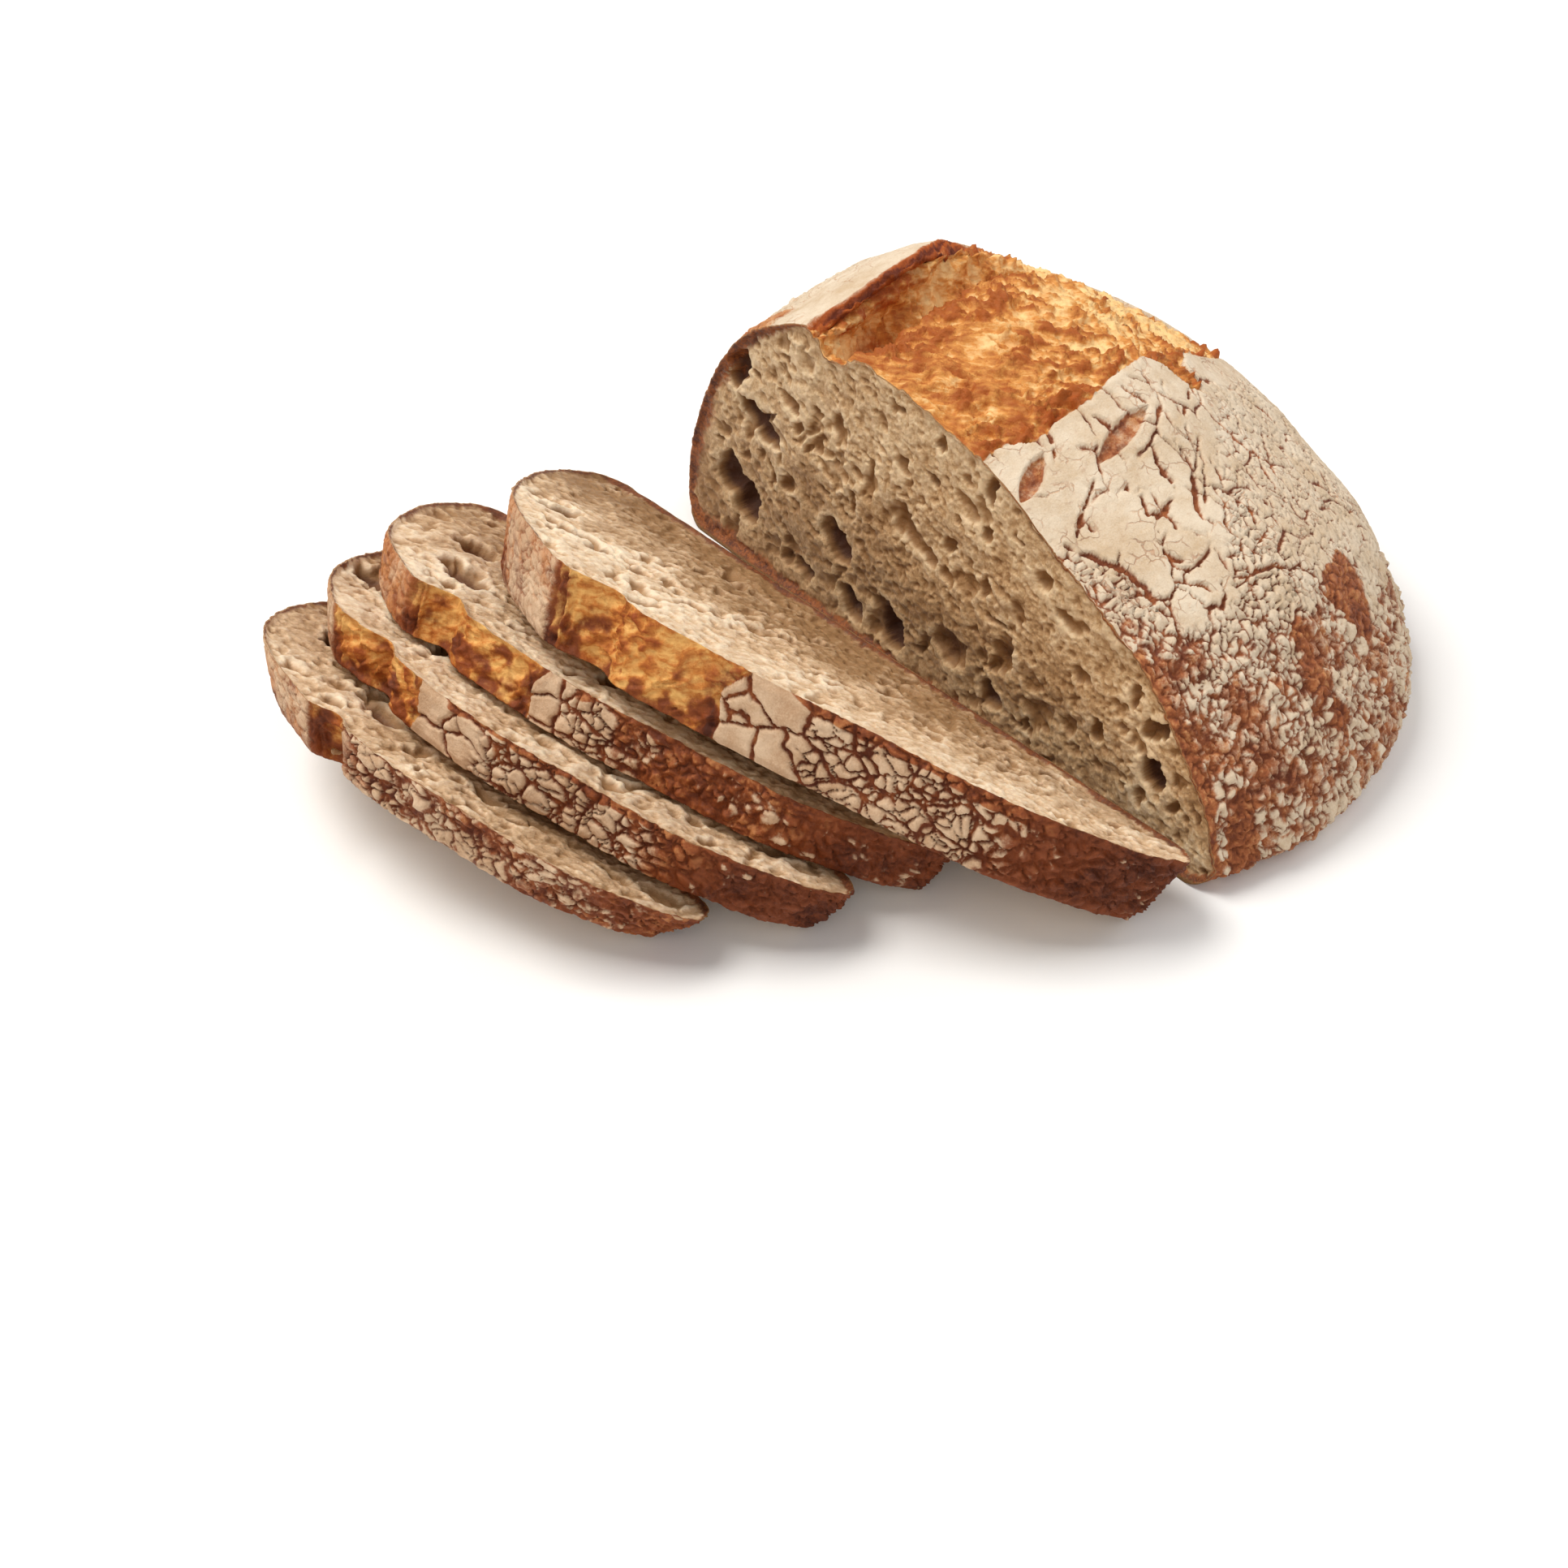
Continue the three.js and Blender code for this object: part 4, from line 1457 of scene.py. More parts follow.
@dataclass
class FallenSlice:
    """A slice that lies on its neighbour, its newer face up."""

    node: str
    tilt: float
    turn: float
    roll: float
    at: Triple
    thick: float
    face: tuple[float, float]
    back: tuple[float, float]
    burst: Burst
    salt: int
    plates_end: float
    cover: Line
    strip: float = 0.0
    low_from: float = -70.0
    dark_end: float = 0.55
    bubbles: tuple[Bubble, ...] = ()
    slot: str = "slice_bread"
    floor_columns: int = 161

    def smooth_ring(self) -> tuple[Array, Array]:
        """The crust without its relief, once round the slice, in rows through its thickness.

        Returns:
            Points, rows by columns by three, and the place across for each column.
        """
        rows = round(self.thick / SLICE_SPACING) + 1
        share = np.linspace(0.0, 1.0, rows)
        width = blend(self.face[0], self.back[0], share)[:, None]
        height = blend(self.face[1], self.back[1], share)[:, None]
        count = round(FORM.crust_length * self.face[0] / SLICE_SPACING)
        line = FORM.crust_at(np.linspace(0.0, 1.0, count + 1))
        section = FORM.section(line[None], (width, height), self.burst.ear, self.burst)
        inset, up = skirt(SLICE_SPACING)
        left = np.dstack([FORM.half_width * width - inset, np.tile(up, (rows, 1))])
        right = (left * [-1.0, 1.0])[:, ::-1]
        steps = np.linspace(0.0, 1.0, self.floor_columns)[None, 1:-1, None]
        floor = blend(left[:, -1:], right[:, :1], steps)
        ring = np.concatenate([section, left, floor, right, section[:, :1]], axis=1)
        under = np.full(len(inset), FORM.half_width)
        middle = np.linspace(FORM.half_width, -FORM.half_width, floor.shape[1])
        across = np.concatenate([line[:, 0], under, middle, -under, line[:1, 0]])
        along = np.repeat(-self.thick * share[:, None], ring.shape[1], 1)
        return np.dstack([along, ring]), across

    def baked(self, points: Array, normals: Array, across: Array) -> CrustPlace:
        """Works out how each part of the crust was floured and baked.

        Args:
            points: The smooth crust, rows by columns by three.
            normals: Its normals.
            across: The place across for each column.

        Returns:
            The places, one entry for each point.
        """
        rows = points.shape[0]
        spot = (points + np.array([31.0 * self.salt, 0.0, 0.0])).reshape(-1, 3)
        a, x, up = np.tile(across, rows), points[..., 0].ravel(), points[..., 2].ravel()
        past_all = 200.0
        cloud = GRAIN.layers(spot, 11.0, 3, 651)
        edge = self.burst.border + 1.6 * np.sin(spot[:, 0] / 5.5) + 1.1 * np.sin(spot[:, 0] / 2.3 + 1.0)
        edge = np.where(up < 1e-6, past_all, edge)
        right = a < self.burst.border + 6.0
        dust = np.interp(a, *np.array(self.cover).T)
        if self.strip:
            inner = fade(-x + 2.6 * cloud, self.strip - 1.0, self.strip + 0.6)
            dust = dust - 1.2 * inner * smooth(self.burst.border - 9.0 - a, 0.0, 6.0)
        # Darker towards the slice's back face in the torn band: more deep gold and char there.
        darker_to_back = smooth(1.3 * GRAIN.layers(spot, 5.0, 3, 655) - x / self.thick, 0.3, 1.05)
        darker_to_back = darker_to_back * smooth(a - self.burst.border, -2.0, 2.0) * fade(a, 78.0, 90.0)
        crackled = fade(a - self.plates_end + 3.0 * cloud, -2.0, 2.0)
        low = fade(a - self.low_from + 6.0 * cloud, -6.0, 6.0)
        dark = np.maximum(0.62 * fade(up, 0.0, 5.0), self.dark_end * smooth(-a, 70.0, 90.0))
        return CrustPlace(
            points=spot,
            normals=normals.reshape(-1, 3),
            along=spot[:, 0],
            across=a,
            ear=np.full(len(a), self.burst.ear),
            edge=edge,
            lip=np.full(len(a), self.burst.lip),
            crackle=np.where(right, crackled, 0.5),
            low=np.where(right, low, smooth(a, 76.0, 90.0)),
            dust=dust - 1.2 * fade(up, 0.0, 3.0),
            calm=np.where(right, 0.0, 0.7),
            golden=0.45 * darker_to_back - 0.16,
            dark=dark + 0.42 * darker_to_back,
        )

    def patches(self) -> list[Patch]:
        """Makes the ring of crust and both cut faces.

        Returns:
            The patches, which meet at their edges.
        """
        points, across = self.smooth_ring()
        rows, columns = points.shape[:2]
        closed = np.concatenate([points[:, -2:-1], points, points[:, 1:2]], axis=1)
        normals = -grid_normals(closed)[:, 1:-1]
        normals[..., 0] = 0.0
        normals = unit(normals)
        place = self.baked(points, normals, across)
        relief = CrustRelief(
            self.burst,
            plate_size=10.5,
            plate_gap=0.55,
            plate_cracks=0.9,
            crackle_size=4.0,
            crackle_gap=0.3,
            low_gap=0.34,
            crack_depth=1.4,
            lump_size=4.4,
            pillow=0.5,
            toast=0.2,
            craze=0.0,
            veil=0.9,
            tear=0.62,
            lip_char=0.4,
        )
        height, marks = relief.shape(place)
        depth_in = np.minimum(-points[..., 0], self.thick + points[..., 0])
        amount = blend(0.4, 1.0, smooth(depth_in, 0.2, 2.2))
        height = height.reshape(rows, columns)
        height += 1.5 * smooth(across, 15.0, 60.0) * fade(points[..., 2], 0.0, 8.0)
        height = blend(height, 2.6 + 0.4 * height, fade(points[..., 2], 0.0, 4.0))
        shaped = points + normals * (height * amount)[..., None]
        shaped[0, :, 0] = -0.2 + 0.2 * GRAIN.layers(place.points[:columns], 3.0, 2, 611)
        shaped[-1, :, 0] += 0.2 + 0.2 * GRAIN.layers(place.points[-columns:], 3.0, 2, 621)
        shaped[:, -1] = shaped[:, 0]
        for values in marks.values():
            values.reshape(rows, columns)[:, -1] = values.reshape(rows, columns)[:, 0]
        flat = unrolled(points, SLICE_SPACING * 2.0)
        quads = grid_faces(rows, columns, flipped=True)
        found = [Patch(shaped.reshape(-1, 3), [quads], flat, Dress.CRUST, marks)]
        for row, facing, bubbles in ((0, 1.0, self.bubbles), (rows - 1, -1.0, ())):
            ring = shaped[row, :-1]
            face = CutFace(
                outline=ring[:, 1:],
                along=ring[:, 0],
                inward=-facing,
                bubbles=bubbles,
                salt=self.salt * 2 + (facing < 0),
                spacing=SLICE_SPACING,
                deepest=0.42 * self.thick,
                foot_width=0.8,
                pores=0.5,
                grain=0.85,
                drawn_up=1.6,
                painted_low_shade=0.38,
                medium_foam=((0.4, 1.8, 3.4, 4.0), (1.8, 1.0, 2.0, 2.4)),
            )
            found.append(face.patch(facing))
        return found

    def build(self, shift: Vector, finishes: Sequence[bpy.types.Material]) -> bpy.types.Object:
        """Builds the slice where it lies and lets it stand for its node.

        Args:
            shift: Where the millimetre frame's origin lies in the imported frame, in metres.
            finishes: The materials, in the order of Dress.

        Returns:
            The piece.
        """
        turn = (
            Matrix.Translation(self.at)
            @ Matrix.Rotation(math.radians(self.turn), 4, "Z")
            @ Matrix.Rotation(math.radians(self.roll), 4, "X")
            @ Matrix.Rotation(math.radians(-self.tilt), 4, "Y")
        )
        piece = BreadMesh(f"cut_{self.node}", self.patches()).build(shift, turn, finishes)
        stand_for(piece, self.node)
        return piece


SLICES = (
    FallenSlice(
        "slice_1",
        tilt=59.7,
        turn=0.0,
        roll=1.9,
        at=(-102.4, 28.1, 12.9),
        thick=12.6,
        face=(0.72, 0.638),
        back=(0.61, 0.575),
        burst=Burst(0.25, 26.0, 16.0, 10.0),
        salt=1,
        plates_end=6.0,
        low_from=-20.0,
        dark_end=0.12,
        cover=(
            (-103, -0.15), (-90, -0.02), (-74, 0.4), (-58, 0.72), (-20, 0.6),
            (10, 0.5), (26, 0.5), (80, 0.42), (95, 0.15),
        ),
        bubbles=(
            Bubble(47, 25, 10, 6), Bubble(31, 22, 6, 5, 0.6),
            Bubble(17, 36, 9, 4.5), Bubble(-20, 30, 5, 3, -0.6),
        ),
    ),
    FallenSlice(
        "slice_2",
        tilt=60.2,
        turn=1.3,
        roll=1.7,
        at=(-73.7, 23.7, 14.3),
        thick=13.8,
        face=(0.823, 0.756),
        back=(0.758, 0.71),
        burst=Burst(0.38, 58.0, 34.0, 12.0),
        salt=2,
        plates_end=-12.0,
        strip=2.2,
        low_from=-78.0,
        cover=(
            (-103, -0.2), (-78, -0.05), (-64, 0.65), (-54, 0.95),
            (12, 1.0), (58, 0.45), (80, 0.35), (95, 0.1),
        ),
        bubbles=(
            Bubble(66, 38, 8, 5), Bubble(44, 42, 12, 4.5),
            Bubble(10, 30, 4, 3, -0.5), Bubble(-30, 24, 5, 3, -0.8),
        ),
    ),
    FallenSlice(
        "slice_3",
        tilt=60.4,
        turn=5.8,
        roll=4.2,
        at=(-50.9, 23.7, 17.8),
        thick=14.0,
        face=(0.86, 0.797),
        back=(0.818, 0.78),
        burst=Burst(0.42, 50.0, 37.0, -3.0),
        salt=3,
        plates_end=-14.0,
        strip=1.6,
        low_from=-30.0,
        cover=(
            (-103, -0.1), (-75, 0.06), (-45, 0.12), (-30, 0.3), (-23, 0.95),
            (-3, 1.0), (50, 0.35), (76, 0.28), (92, 0.1),
        ),
        bubbles=(
            Bubble(62, 29, 7, 6, 0.6), Bubble(47, 47, 8, 5.5, 0.6),
            Bubble(20, 40, 4, 3), Bubble(-20, 30, 5, 3, -0.8),
        ),
    ),
    FallenSlice(
        "slice_4",
        tilt=58.5,
        turn=7.4,
        roll=4.6,
        at=(-20.2, -5.6, 24.4),
        thick=19.6,
        face=(0.975, 0.907),
        back=(0.912, 0.866),
        burst=Burst(0.42, 41.0, 25.0, -12.0, crest=9.0),
        salt=4,
        plates_end=-29.0,
        strip=2.6,
        low_from=-76.0,
        cover=(
            (-103, -0.25), (-90, -0.1), (-78, 0.42), (-68, 0.92),
            (-12, 1.0), (41, 0.55), (64, 0.4), (88, 0.1),
        ),
        bubbles=(
            Bubble(56, 56, 4, 3, 0.3), Bubble(38, 17, 5, 4),
            Bubble(12, 40, 4, 2.8), Bubble(-35, 28, 5, 3, -1.0),
        ),
    ),
)


# ---------------------------------------------------------------------------- shader maths

Number = float | int


class Wire:
    """One output socket, with the operators that a finish's masks are worked out with."""

    def __init__(self, nodes: Nodes, socket: bpy.types.NodeSocket) -> None:
        """Wraps a socket of the finish's nodes."""
        self.nodes = nodes
        self.socket = socket

    def math(self, operation: str, first: Wire | Number, second: Wire | Number) -> Wire:
        """Adds a Math node."""
        return self.nodes.out("ShaderNodeMath", {"operation": operation}, {0: first, 1: second})

    def __add__(self, other: Wire | Number) -> Wire:
        """Self plus other."""
        return self.math("ADD", self, other)

    def __sub__(self, other: Wire | Number) -> Wire:
        """Self less other."""
        return self.math("SUBTRACT", self, other)

    def __rsub__(self, other: Number) -> Wire:
        """Other less self."""
        return self.math("SUBTRACT", other, self)

    def __mul__(self, other: Wire | Number) -> Wire:
        """Self times other."""
        return self.math("MULTIPLY", self, other)

    __radd__ = __add__
    __rmul__ = __mul__

    def between(self, low: float, high: float) -> Wire:
        """Zero up to low, one from high on, and an even rise between them."""
        sockets = {"Value": self, "From Min": low, "From Max": high}
        return self.nodes.out("ShaderNodeMapRange", {"interpolation_type": "SMOOTHSTEP"}, sockets)


class Nodes:
    """The nodes of one finish."""

    def __init__(self, name: str) -> None:
        """Starts an empty material.

        Args:
            name: The material's name.
        """
        self.material = bpy.data.materials.new(name)
        self.material.use_nodes = True
        self.tree = self.material.node_tree
        self.tree.nodes.clear()

    def add(
        self,
        kind: str,
        settings: Mapping[str, object] | None = None,
        sockets: Mapping[str | int, object] | None = None,
    ) -> bpy.types.Node:
        """Adds one node.

        Args:
            kind: The node's type.
            settings: Its own settings, which are set first; "stops" are a ramp's colours.
            sockets: Values or wires for its inputs, by name or number.

        Returns:
            The node.
        """
        node = self.tree.nodes.new(kind)
        for name, value in (settings or {}).items():
            if name == "stops":
                self.ramp(node, value)
            else:
                setattr(node, name, value)
        for name, value in (sockets or {}).items():
            socket = node.inputs[name]
            if isinstance(value, Wire):
                self.tree.links.new(value.socket, socket)
            else:
                socket.default_value = value
        return node

    def out(
        self,
        kind: str,
        settings: Mapping[str, object] | None = None,
        sockets: Mapping[str | int, object] | None = None,
        output: int | str = 0,
    ) -> Wire:
        """Adds one node, as add does, and takes one of its outputs."""
        return Wire(self, self.add(kind, settings, sockets).outputs[output])

    def ramp(self, node: bpy.types.Node, stops: Iterable[tuple[float, Sequence[float]]]) -> None:
        """Gives a colour ramp its stops.

        Args:
            node: The ramp's node.
            stops: Place on the ramp, from zero to one, and colour of each stop.
        """
        elements = node.color_ramp.elements
        wanted = list(stops)
        while len(elements) < len(wanted):
            elements.new(1.0)
        for element, (position, colour) in zip(elements, wanted, strict=True):
            element.position = position
            element.color = colour

    def place(self) -> Wire:
        """Where a point lies in the piece, in metres."""
        return self.out("ShaderNodeTexCoord", output="Object")

    def mark(self, mark: Mark) -> Wire:
        """One of the surface's marks."""
        return self.out("ShaderNodeAttribute", {"attribute_name": mark.value}, output="Fac")

    def drawn(self, place: Wire, lean: float, heading: float, times: float) -> Wire:
        """The place, so that what it feeds is drawn out along one line.

        Args:
            place: Where a point lies.
            lean: How far the line leans from upright, in degrees.
            heading: Which way it leans, in degrees from +X.
            times: How many times longer than wide things become.

        Returns:
            The place to feed to a noise.
        """
        turned = (0.0, math.radians(lean), math.radians(heading))
        sockets = {"Vector": place, "Rotation": turned, "Scale": (1.0, 1.0, times)}
        return self.out("ShaderNodeMapping", {"vector_type": "TEXTURE"}, sockets)

    def noise(self, place: Wire, size: float, detail: float = 3.0, roughness: float = 0.55) -> Wire:
        """Smooth noise from about zero to one, with lumps of a size in millimetres."""
        sockets = {"Vector": place, "Scale": 1.0 / (size * MM), "Detail": detail, "Roughness": roughness}
        return self.out("ShaderNodeTexNoise", {"normalize": True}, sockets)

    def bent(self, place: Wire, size: float, amount: float) -> Wire:
        """The place pushed about by noise, so that what it feeds wanders.

        Args:
            place: Where a point lies.
            size: Width of the noise's lumps, in millimetres.
            amount: How far it pushes, in millimetres.

        Returns:
            The pushed place.
        """
        sockets = {"Vector": place, "Scale": 1.0 / (size * MM), "Detail": 2.0}
        push = self.out("ShaderNodeTexNoise", {"normalize": True}, sockets, "Color")
        push = self.out("ShaderNodeVectorMath", {"operation": "SUBTRACT"}, {0: push, 1: (0.5,) * 3})
        sockets = {0: push, 1: (2.0 * amount * MM,) * 3, 2: place}
        return self.out("ShaderNodeVectorMath", {"operation": "MULTIPLY_ADD"}, sockets)

    def edges(self, place: Wire, size: float) -> Wire:
        """Divides the surface into irregular plates.

        Args:
            place: Where a point lies.
            size: Width of one plate, in millimetres.

        Returns:
            Distance from the plates' edges, with one for a plate's width.
        """
        settings = {"voronoi_dimensions": "3D", "feature": "DISTANCE_TO_EDGE"}
        sockets = {"Vector": place, "Scale": 1.0 / (size * MM)}
        return self.out("ShaderNodeTexVoronoi", settings, sockets, "Distance")

    def mix(self, share: Wire | float, low: Wire | Sequence[float], high: Wire | Sequence[float]) -> Wire:
        """Blends two colours.

        Args:
            share: How much of the second shows, from zero to one.
            low: The first colour.
            high: The second colour.

        Returns:
            The blend.
        """
        settings = {"data_type": "RGBA", "clamp_factor": True}
        return self.out("ShaderNodeMix", settings, {0: share, 6: low, 7: high}, 2)

    def colours(self, share: Wire, stops: Sequence[tuple[float, Sequence[float]]]) -> Wire:
        """A colour picked along a ramp."""
        return self.out("ShaderNodeValToRGB", {"stops": stops}, {0: share})

    def bump(self, height: Wire, depth: float, strength: float = 1.0) -> Wire:
        """A normal from a height from zero to one, with its depth in millimetres."""
        sockets = {"Height": height, "Distance": depth * MM, "Strength": strength}
        return self.out("ShaderNodeBump", None, sockets)

    def finish(self, sockets: Mapping[str | int, object]) -> bpy.types.Material:
        """Ends the finish in its surface shader.

        Args:
            sockets: Values or wires for the shader's inputs.

        Returns:
            The material.
        """
        shader = self.add("ShaderNodeBsdfPrincipled", None, sockets)
        output = self.add("ShaderNodeOutputMaterial")
        self.tree.links.new(shader.outputs[0], output.inputs[0])
        return self.material


# ---------------------------------------------------------------------------- finishes


@dataclass(frozen=True)
class CrustFinish:
    """Baked crust: floured, torn golden, charred or bare brown."""

    name: str = "baked_crust"
    flour_light: Colour = srgb(223, 206, 182)
    flour_warm: Colour = srgb(198, 171, 138)
    brown_dark: Colour = srgb(104, 50, 28)
    brown: Colour = srgb(160, 92, 52)
    brown_light: Colour = srgb(204, 146, 94)
    gold_pale: Colour = srgb(242, 204, 142)
    gold: Colour = srgb(211, 144, 72)
    gold_deep: Colour = srgb(164, 86, 32)
    charred: Colour = srgb(100, 40, 16)
    toasted: Colour = srgb(166, 80, 28)
    craze_size: float = 4.6

    def make(self) -> bpy.types.Material:
        """Builds the finish.

        Returns:
            The material.
        """
        nodes = Nodes(self.name)
        place = nodes.place()
        wanted = (Mark.FLOUR, Mark.TORN, Mark.CHAR, Mark.STRAND, Mark.CRAZE)
        flour, torn, char, strand, craze = (nodes.mark(mark) for mark in wanted)
        broad = nodes.noise(place, 16.0, 2.0)
        middle = nodes.noise(place, 4.5, 4.0, 0.6)
        fine = nodes.noise(place, 1.1, 4.0, 0.65)
        dust = nodes.noise(place, 0.45, 2.0, 0.6)
        fibre = nodes.noise(nodes.drawn(nodes.bent(place, 9.0, 2.5), 78.0, -59.0, 5.0), 1.4, 3.0, 0.6)

        brown = nodes.colours(
            (middle * 0.55 + broad * 0.25 + fine * 0.35 + strand * 0.3 - 0.1).between(0.36, 0.8),
            ((0.0, self.brown_dark), (0.5, self.brown), (1.0, self.brown_light)),
        )
        baking = strand * 0.9 + fibre * 0.95 + fine * 0.35 + middle * 0.3 + broad * 0.35 - 0.83
        gold = nodes.colours(
            baking.between(0.05, 0.95), ((0.0, self.gold_pale), (0.5, self.gold), (1.0, self.gold_deep))
        )
        baked = nodes.mix(torn, brown, gold)
        # Char, and the painted shade deep in the ear's pocket, darken the crust here.
        burnt_and_shaded = char + (fine - 0.5) * 0.9 * char
        baked = nodes.mix(burnt_and_shaded.between(0.12, 0.62), baked, self.toasted)
        baked = nodes.mix(burnt_and_shaded.between(0.5, 1.0), baked, self.charred)

        jagged = nodes.bent(nodes.bent(place, 3.0, 1.2), 0.9, 0.35)
        hair = 1.0 - nodes.edges(jagged, self.craze_size).between(0.012, 0.05)
        crazed = (nodes.noise(place, 9.0, 2.0) + craze * 0.12).between(0.52, 0.64)
        hair = hair * crazed * craze.between(0.1, 0.6)
        cream = nodes.mix(
            (broad * 0.5 + middle * 0.5 + dust * 0.3).between(0.4, 0.86), self.flour_warm, self.flour_light
        )
        cover = (flour + (fine - 0.5) * 0.42 + (dust - 0.5) * 0.3).between(0.08, 0.76)
        thin = nodes.noise(place, 2.6, 3.0).between(0.6, 0.8)
        cover = cover * (1.0 - 0.3 * thin) * (1.0 - 0.75 * hair)
        colour = nodes.mix(cover, baked, cream)
        rough = 0.6 + cover * 0.3 + (fine - 0.5) * 0.2
        height = fine * 0.55 + dust * 0.35 + middle * 0.2 - hair * 0.6 + fibre * torn * 0.9
        return nodes.finish({
            "Base Color": colour,
            "Roughness": rough,
            "Normal": nodes.bump(height, 0.5, 0.8),
            "Specular IOR Level": 0.22,
        })


@dataclass(frozen=True)
class CrumbFinish:
    """The open crumb of a cut face, with the crust's edge round it."""

    # The default colours are the darker copy of the crumb, painted shade, for the loaf's cut face.
    name: str = "shaded_open_crumb"
    pale: Colour = srgb(222, 195, 156)
    warm: Colour = srgb(188, 151, 107)
    # The dim end of the ramp is the painted shade of recesses and of the face's bottom.
    shaded_dim: Colour = srgb(144, 104, 62)
    # hollow and deep are painted shade for the insides of the holes.
    hollow: Colour = srgb(138, 96, 52)
    deep: Colour = srgb(84, 46, 22)
    edge_light: Colour = srgb(164, 94, 44)
    edge_dark: Colour = srgb(80, 38, 20)
    grain_depth: float = 0.36
    lean: float = 0.0
    drawn_up: float = 1.0

    def make(self) -> bpy.types.Material:
        """Builds the finish.

        Returns:
            The material.
        """
        nodes = Nodes(self.name)
        place = nodes.drawn(nodes.place(), self.lean, 0.0, self.drawn_up)
        pit, rim, raised = (nodes.mark(m) for m in (Mark.PIT, Mark.RIM, Mark.RAISED))
        broad = nodes.noise(place, 14.0, 2.0)
        middle = nodes.noise(place, 3.2, 3.0, 0.6)
        fine = nodes.noise(place, 0.8, 3.0, 0.7)
        # Painted shade from how raised the crumb is and from the face's bottom, with noise for the crumb's
        # own tone.
        tone_and_shade = raised + (broad - 0.5) * 0.5 + (middle - 0.5) * 0.25 + (fine - 0.5) * 0.42
        crumb = nodes.colours(
            tone_and_shade.between(0.0, 1.0), ((0.12, self.shaded_dim), (0.46, self.warm), (0.8, self.pale))
        )
        # Painted shade in the holes: the deeper in a hole, the more the colour goes to hollow and then to
        # deep.
        sunk = pit + (fine - 0.5) * 0.25
        crumb = nodes.mix(sunk.between(0.06, 0.5) * 0.85, crumb, self.hollow)
        crumb = nodes.mix(sunk.between(0.45, 1.0), crumb, self.deep)
        edge = nodes.mix((middle * 0.6 + fine * 0.5).between(0.35, 0.75), self.edge_dark, self.edge_light)
        near = (rim + (fine - 0.5) * 0.8 + (middle - 0.5) * 0.4).between(0.25, 0.75)
        colour = nodes.mix(near, crumb, edge)
        height = fine * 0.6 + nodes.noise(place, 0.4, 2.0) * 0.35 + middle * 0.15
        return nodes.finish({
            "Base Color": colour,
            "Roughness": 0.62 + (fine - 0.5) * 0.3,
            "Normal": nodes.bump(height, self.grain_depth, 0.8),
            "Specular IOR Level": 0.4,
            "Subsurface Weight": 0.15,
            "Subsurface Radius": (1.0, 0.6, 0.35),
            "Subsurface Scale": 1.2 * MM,
        })


@dataclass(frozen=True)
class FloorFinish:
    """A plain pale floor."""

    name: str = "pale_floor"
    light: Colour = srgb(246, 245, 243)
    shade: Colour = srgb(241, 240, 237)

    def make(self) -> bpy.types.Material:
        """Builds the finish.

        Returns:
            The material.
        """
        nodes = Nodes(self.name)
        cloud = nodes.noise(nodes.place(), 160.0, 2.0)
        return nodes.finish({"Base Color": nodes.mix(cloud, self.shade, self.light), "Roughness": 0.7})


# ---------------------------------------------------------------------------- the studio


@dataclass(frozen=True)
class Lamp:
    """A soft square lamp: where it hangs, what it looks at, its side, all in metres, and its power."""

    name: str
    at: Triple
    side: float
    power: float
    colour: Triple = (1.0, 1.0, 1.0)

    def hang(self) -> None:
        """Makes the lamp, turned to the bread."""
        data = bpy.data.lights.new(self.name, "AREA")
        data.shape = "SQUARE"
        data.size = self.side
        data.energy = self.power
        data.color = self.colour
        lamp = bpy.data.objects.new(self.name, data)
        lamp.location = self.at
        aim = Vector((0.0, 0.0, 0.04)) - lamp.location
        lamp.rotation_euler = aim.to_track_quat("-Z", "Y").to_euler()
        bpy.context.scene.collection.objects.link(lamp)


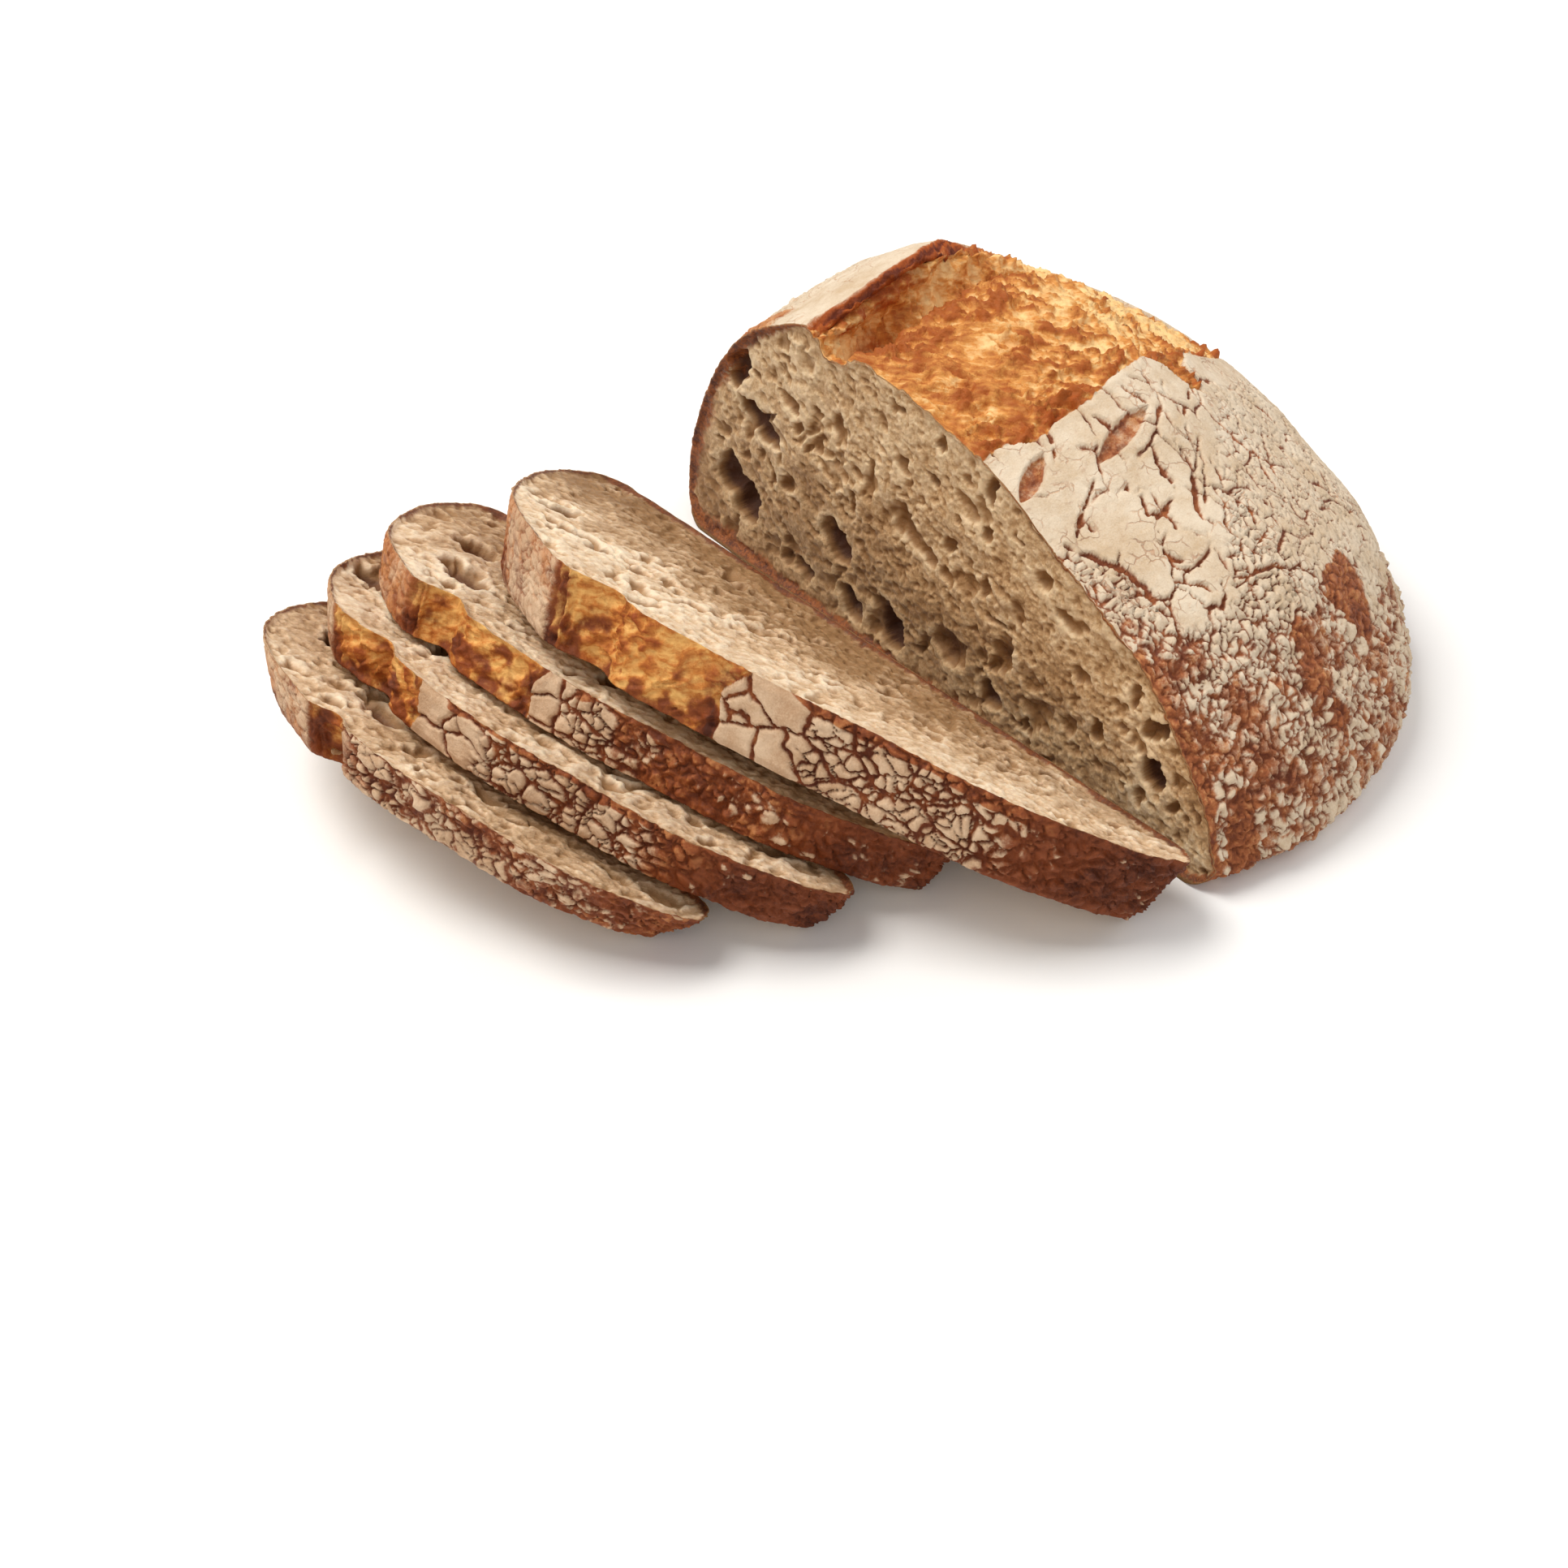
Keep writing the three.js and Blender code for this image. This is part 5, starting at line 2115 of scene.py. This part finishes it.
@dataclass(frozen=True)
class Studio:
    """The floor, the soft light and the camera."""

    floor_side: float = 6.0
    sky: Colour = srgb(250, 250, 252)
    sky_strength: float = 0.42
    lamps: tuple[Lamp, ...] = (
        Lamp("key_lamp", (-0.42, 0.5, 1.25), 0.8, 17.5, (1.0, 0.98, 0.95)),
        Lamp("fill_lamp", (-0.7, -1.1, 0.9), 1.2, 5.5, (1.0, 0.97, 0.93)),
        Lamp("side_lamp", (1.4, -0.35, 0.95), 1.0, 9.5, (1.0, 0.99, 0.98)),
    )
    camera_at: Triple = (-344.7, -372.7, 391.8)
    camera_heading: tuple[float, float] = (0.6238, 0.7816)
    camera_down: float = 40.0
    lens: float = 55.9
    sensor: float = 36.0

    def lay_floor(self) -> None:
        """Makes the floor."""
        half = self.floor_side / 2
        mesh = bpy.data.meshes.new("floor")
        corners = [(-half, -half, 0.0), (half, -half, 0.0), (half, half, 0.0), (-half, half, 0.0)]
        mesh.from_pydata(corners, [], [(0, 1, 2, 3)])
        mesh.materials.append(FloorFinish().make())
        floor = bpy.data.objects.new("floor", mesh)
        bpy.context.scene.collection.objects.link(floor)

    def light(self) -> None:
        """Hangs the lamps and sets the even light from all round."""
        world = bpy.data.worlds.new("soft_room")
        world.use_nodes = True
        background = world.node_tree.nodes["Background"]
        background.inputs["Color"].default_value = self.sky
        background.inputs["Strength"].default_value = self.sky_strength
        bpy.context.scene.world = world
        bpy.context.scene.view_settings.view_transform = "Standard"
        for lamp in self.lamps:
            lamp.hang()

    def set_camera(self, shift: Vector) -> None:
        """Places the camera.

        Args:
            shift: Where the millimetre frame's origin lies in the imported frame, in metres.
        """
        data = bpy.data.cameras.new("camera")
        data.lens = self.lens
        data.sensor_width = self.sensor
        camera = bpy.data.objects.new("camera", data)
        down = math.radians(self.camera_down)
        forward = Vector((
            self.camera_heading[0] * math.cos(down),
            self.camera_heading[1] * math.cos(down),
            -math.sin(down),
        ))
        camera.location = Vector(self.camera_at) * MM + shift
        camera.rotation_euler = forward.to_track_quat("-Z", "Y").to_euler()
        bpy.context.scene.collection.objects.link(camera)
        bpy.context.scene.camera = camera


def cut_foot() -> Vector:
    """The middle of the cut face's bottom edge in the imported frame, in metres."""
    low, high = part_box("loaf")
    return Vector((low.x, (low.y + high.y) / 2, 0.0))


def corners(box: tuple[Vector, Vector]) -> list[list[float]]:
    """A box as plain lists of numbers."""
    return [[float(value) for value in corner] for corner in box]


def main() -> None:
    """Builds the studio and the bread."""
    logging.basicConfig(level=logging.INFO, format="%(name)s: %(message)s")
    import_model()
    shift = cut_foot()
    studio = Studio()
    studio.lay_floor()
    studio.light()
    studio.set_camera(shift)
    crumb = CrumbFinish().make()
    loaf_crust = CrustFinish().make()
    # A darker, warmer copy of the crust for the slices: painted shade and painted warm bounced light.
    shaded_slice_crust = CrustFinish(
        name="shaded_slice_crust",
        flour_light=srgb(216, 186, 154),
        flour_warm=srgb(182, 142, 106),
        brown_dark=srgb(92, 40, 18),
        brown=srgb(144, 76, 38),
        brown_light=srgb(194, 130, 78),
        toasted=srgb(126, 62, 28),
        charred=srgb(74, 32, 16),
        gold_pale=srgb(232, 180, 104),
        gold=srgb(196, 122, 54),
        gold_deep=srgb(146, 68, 22),
    ).make()
    # A paler copy of the crumb for the slices' faces, lit from above: painted light against the loaf's
    # darker crumb.
    lit_slice_crumb = CrumbFinish(
        name="lit_slice_crumb",
        pale=srgb(235, 214, 184),
        warm=srgb(209, 176, 139),
        shaded_dim=srgb(158, 120, 80),
        hollow=srgb(160, 120, 78),
        deep=srgb(112, 70, 38),
        edge_light=srgb(136, 78, 40),
        lean=-60.0,
        drawn_up=1.8,
    ).make()
    for part in (StandingHalf(), *SLICES):
        finishes = (loaf_crust, crumb) if part.node == "loaf" else (shaded_slice_crust, lit_slice_crumb)
        piece = part.build(shift, finishes)
        log.info("%s stands for %s with %d faces", piece.name, part.node, len(piece.data.polygons))


if __name__ == "__main__":
    main()
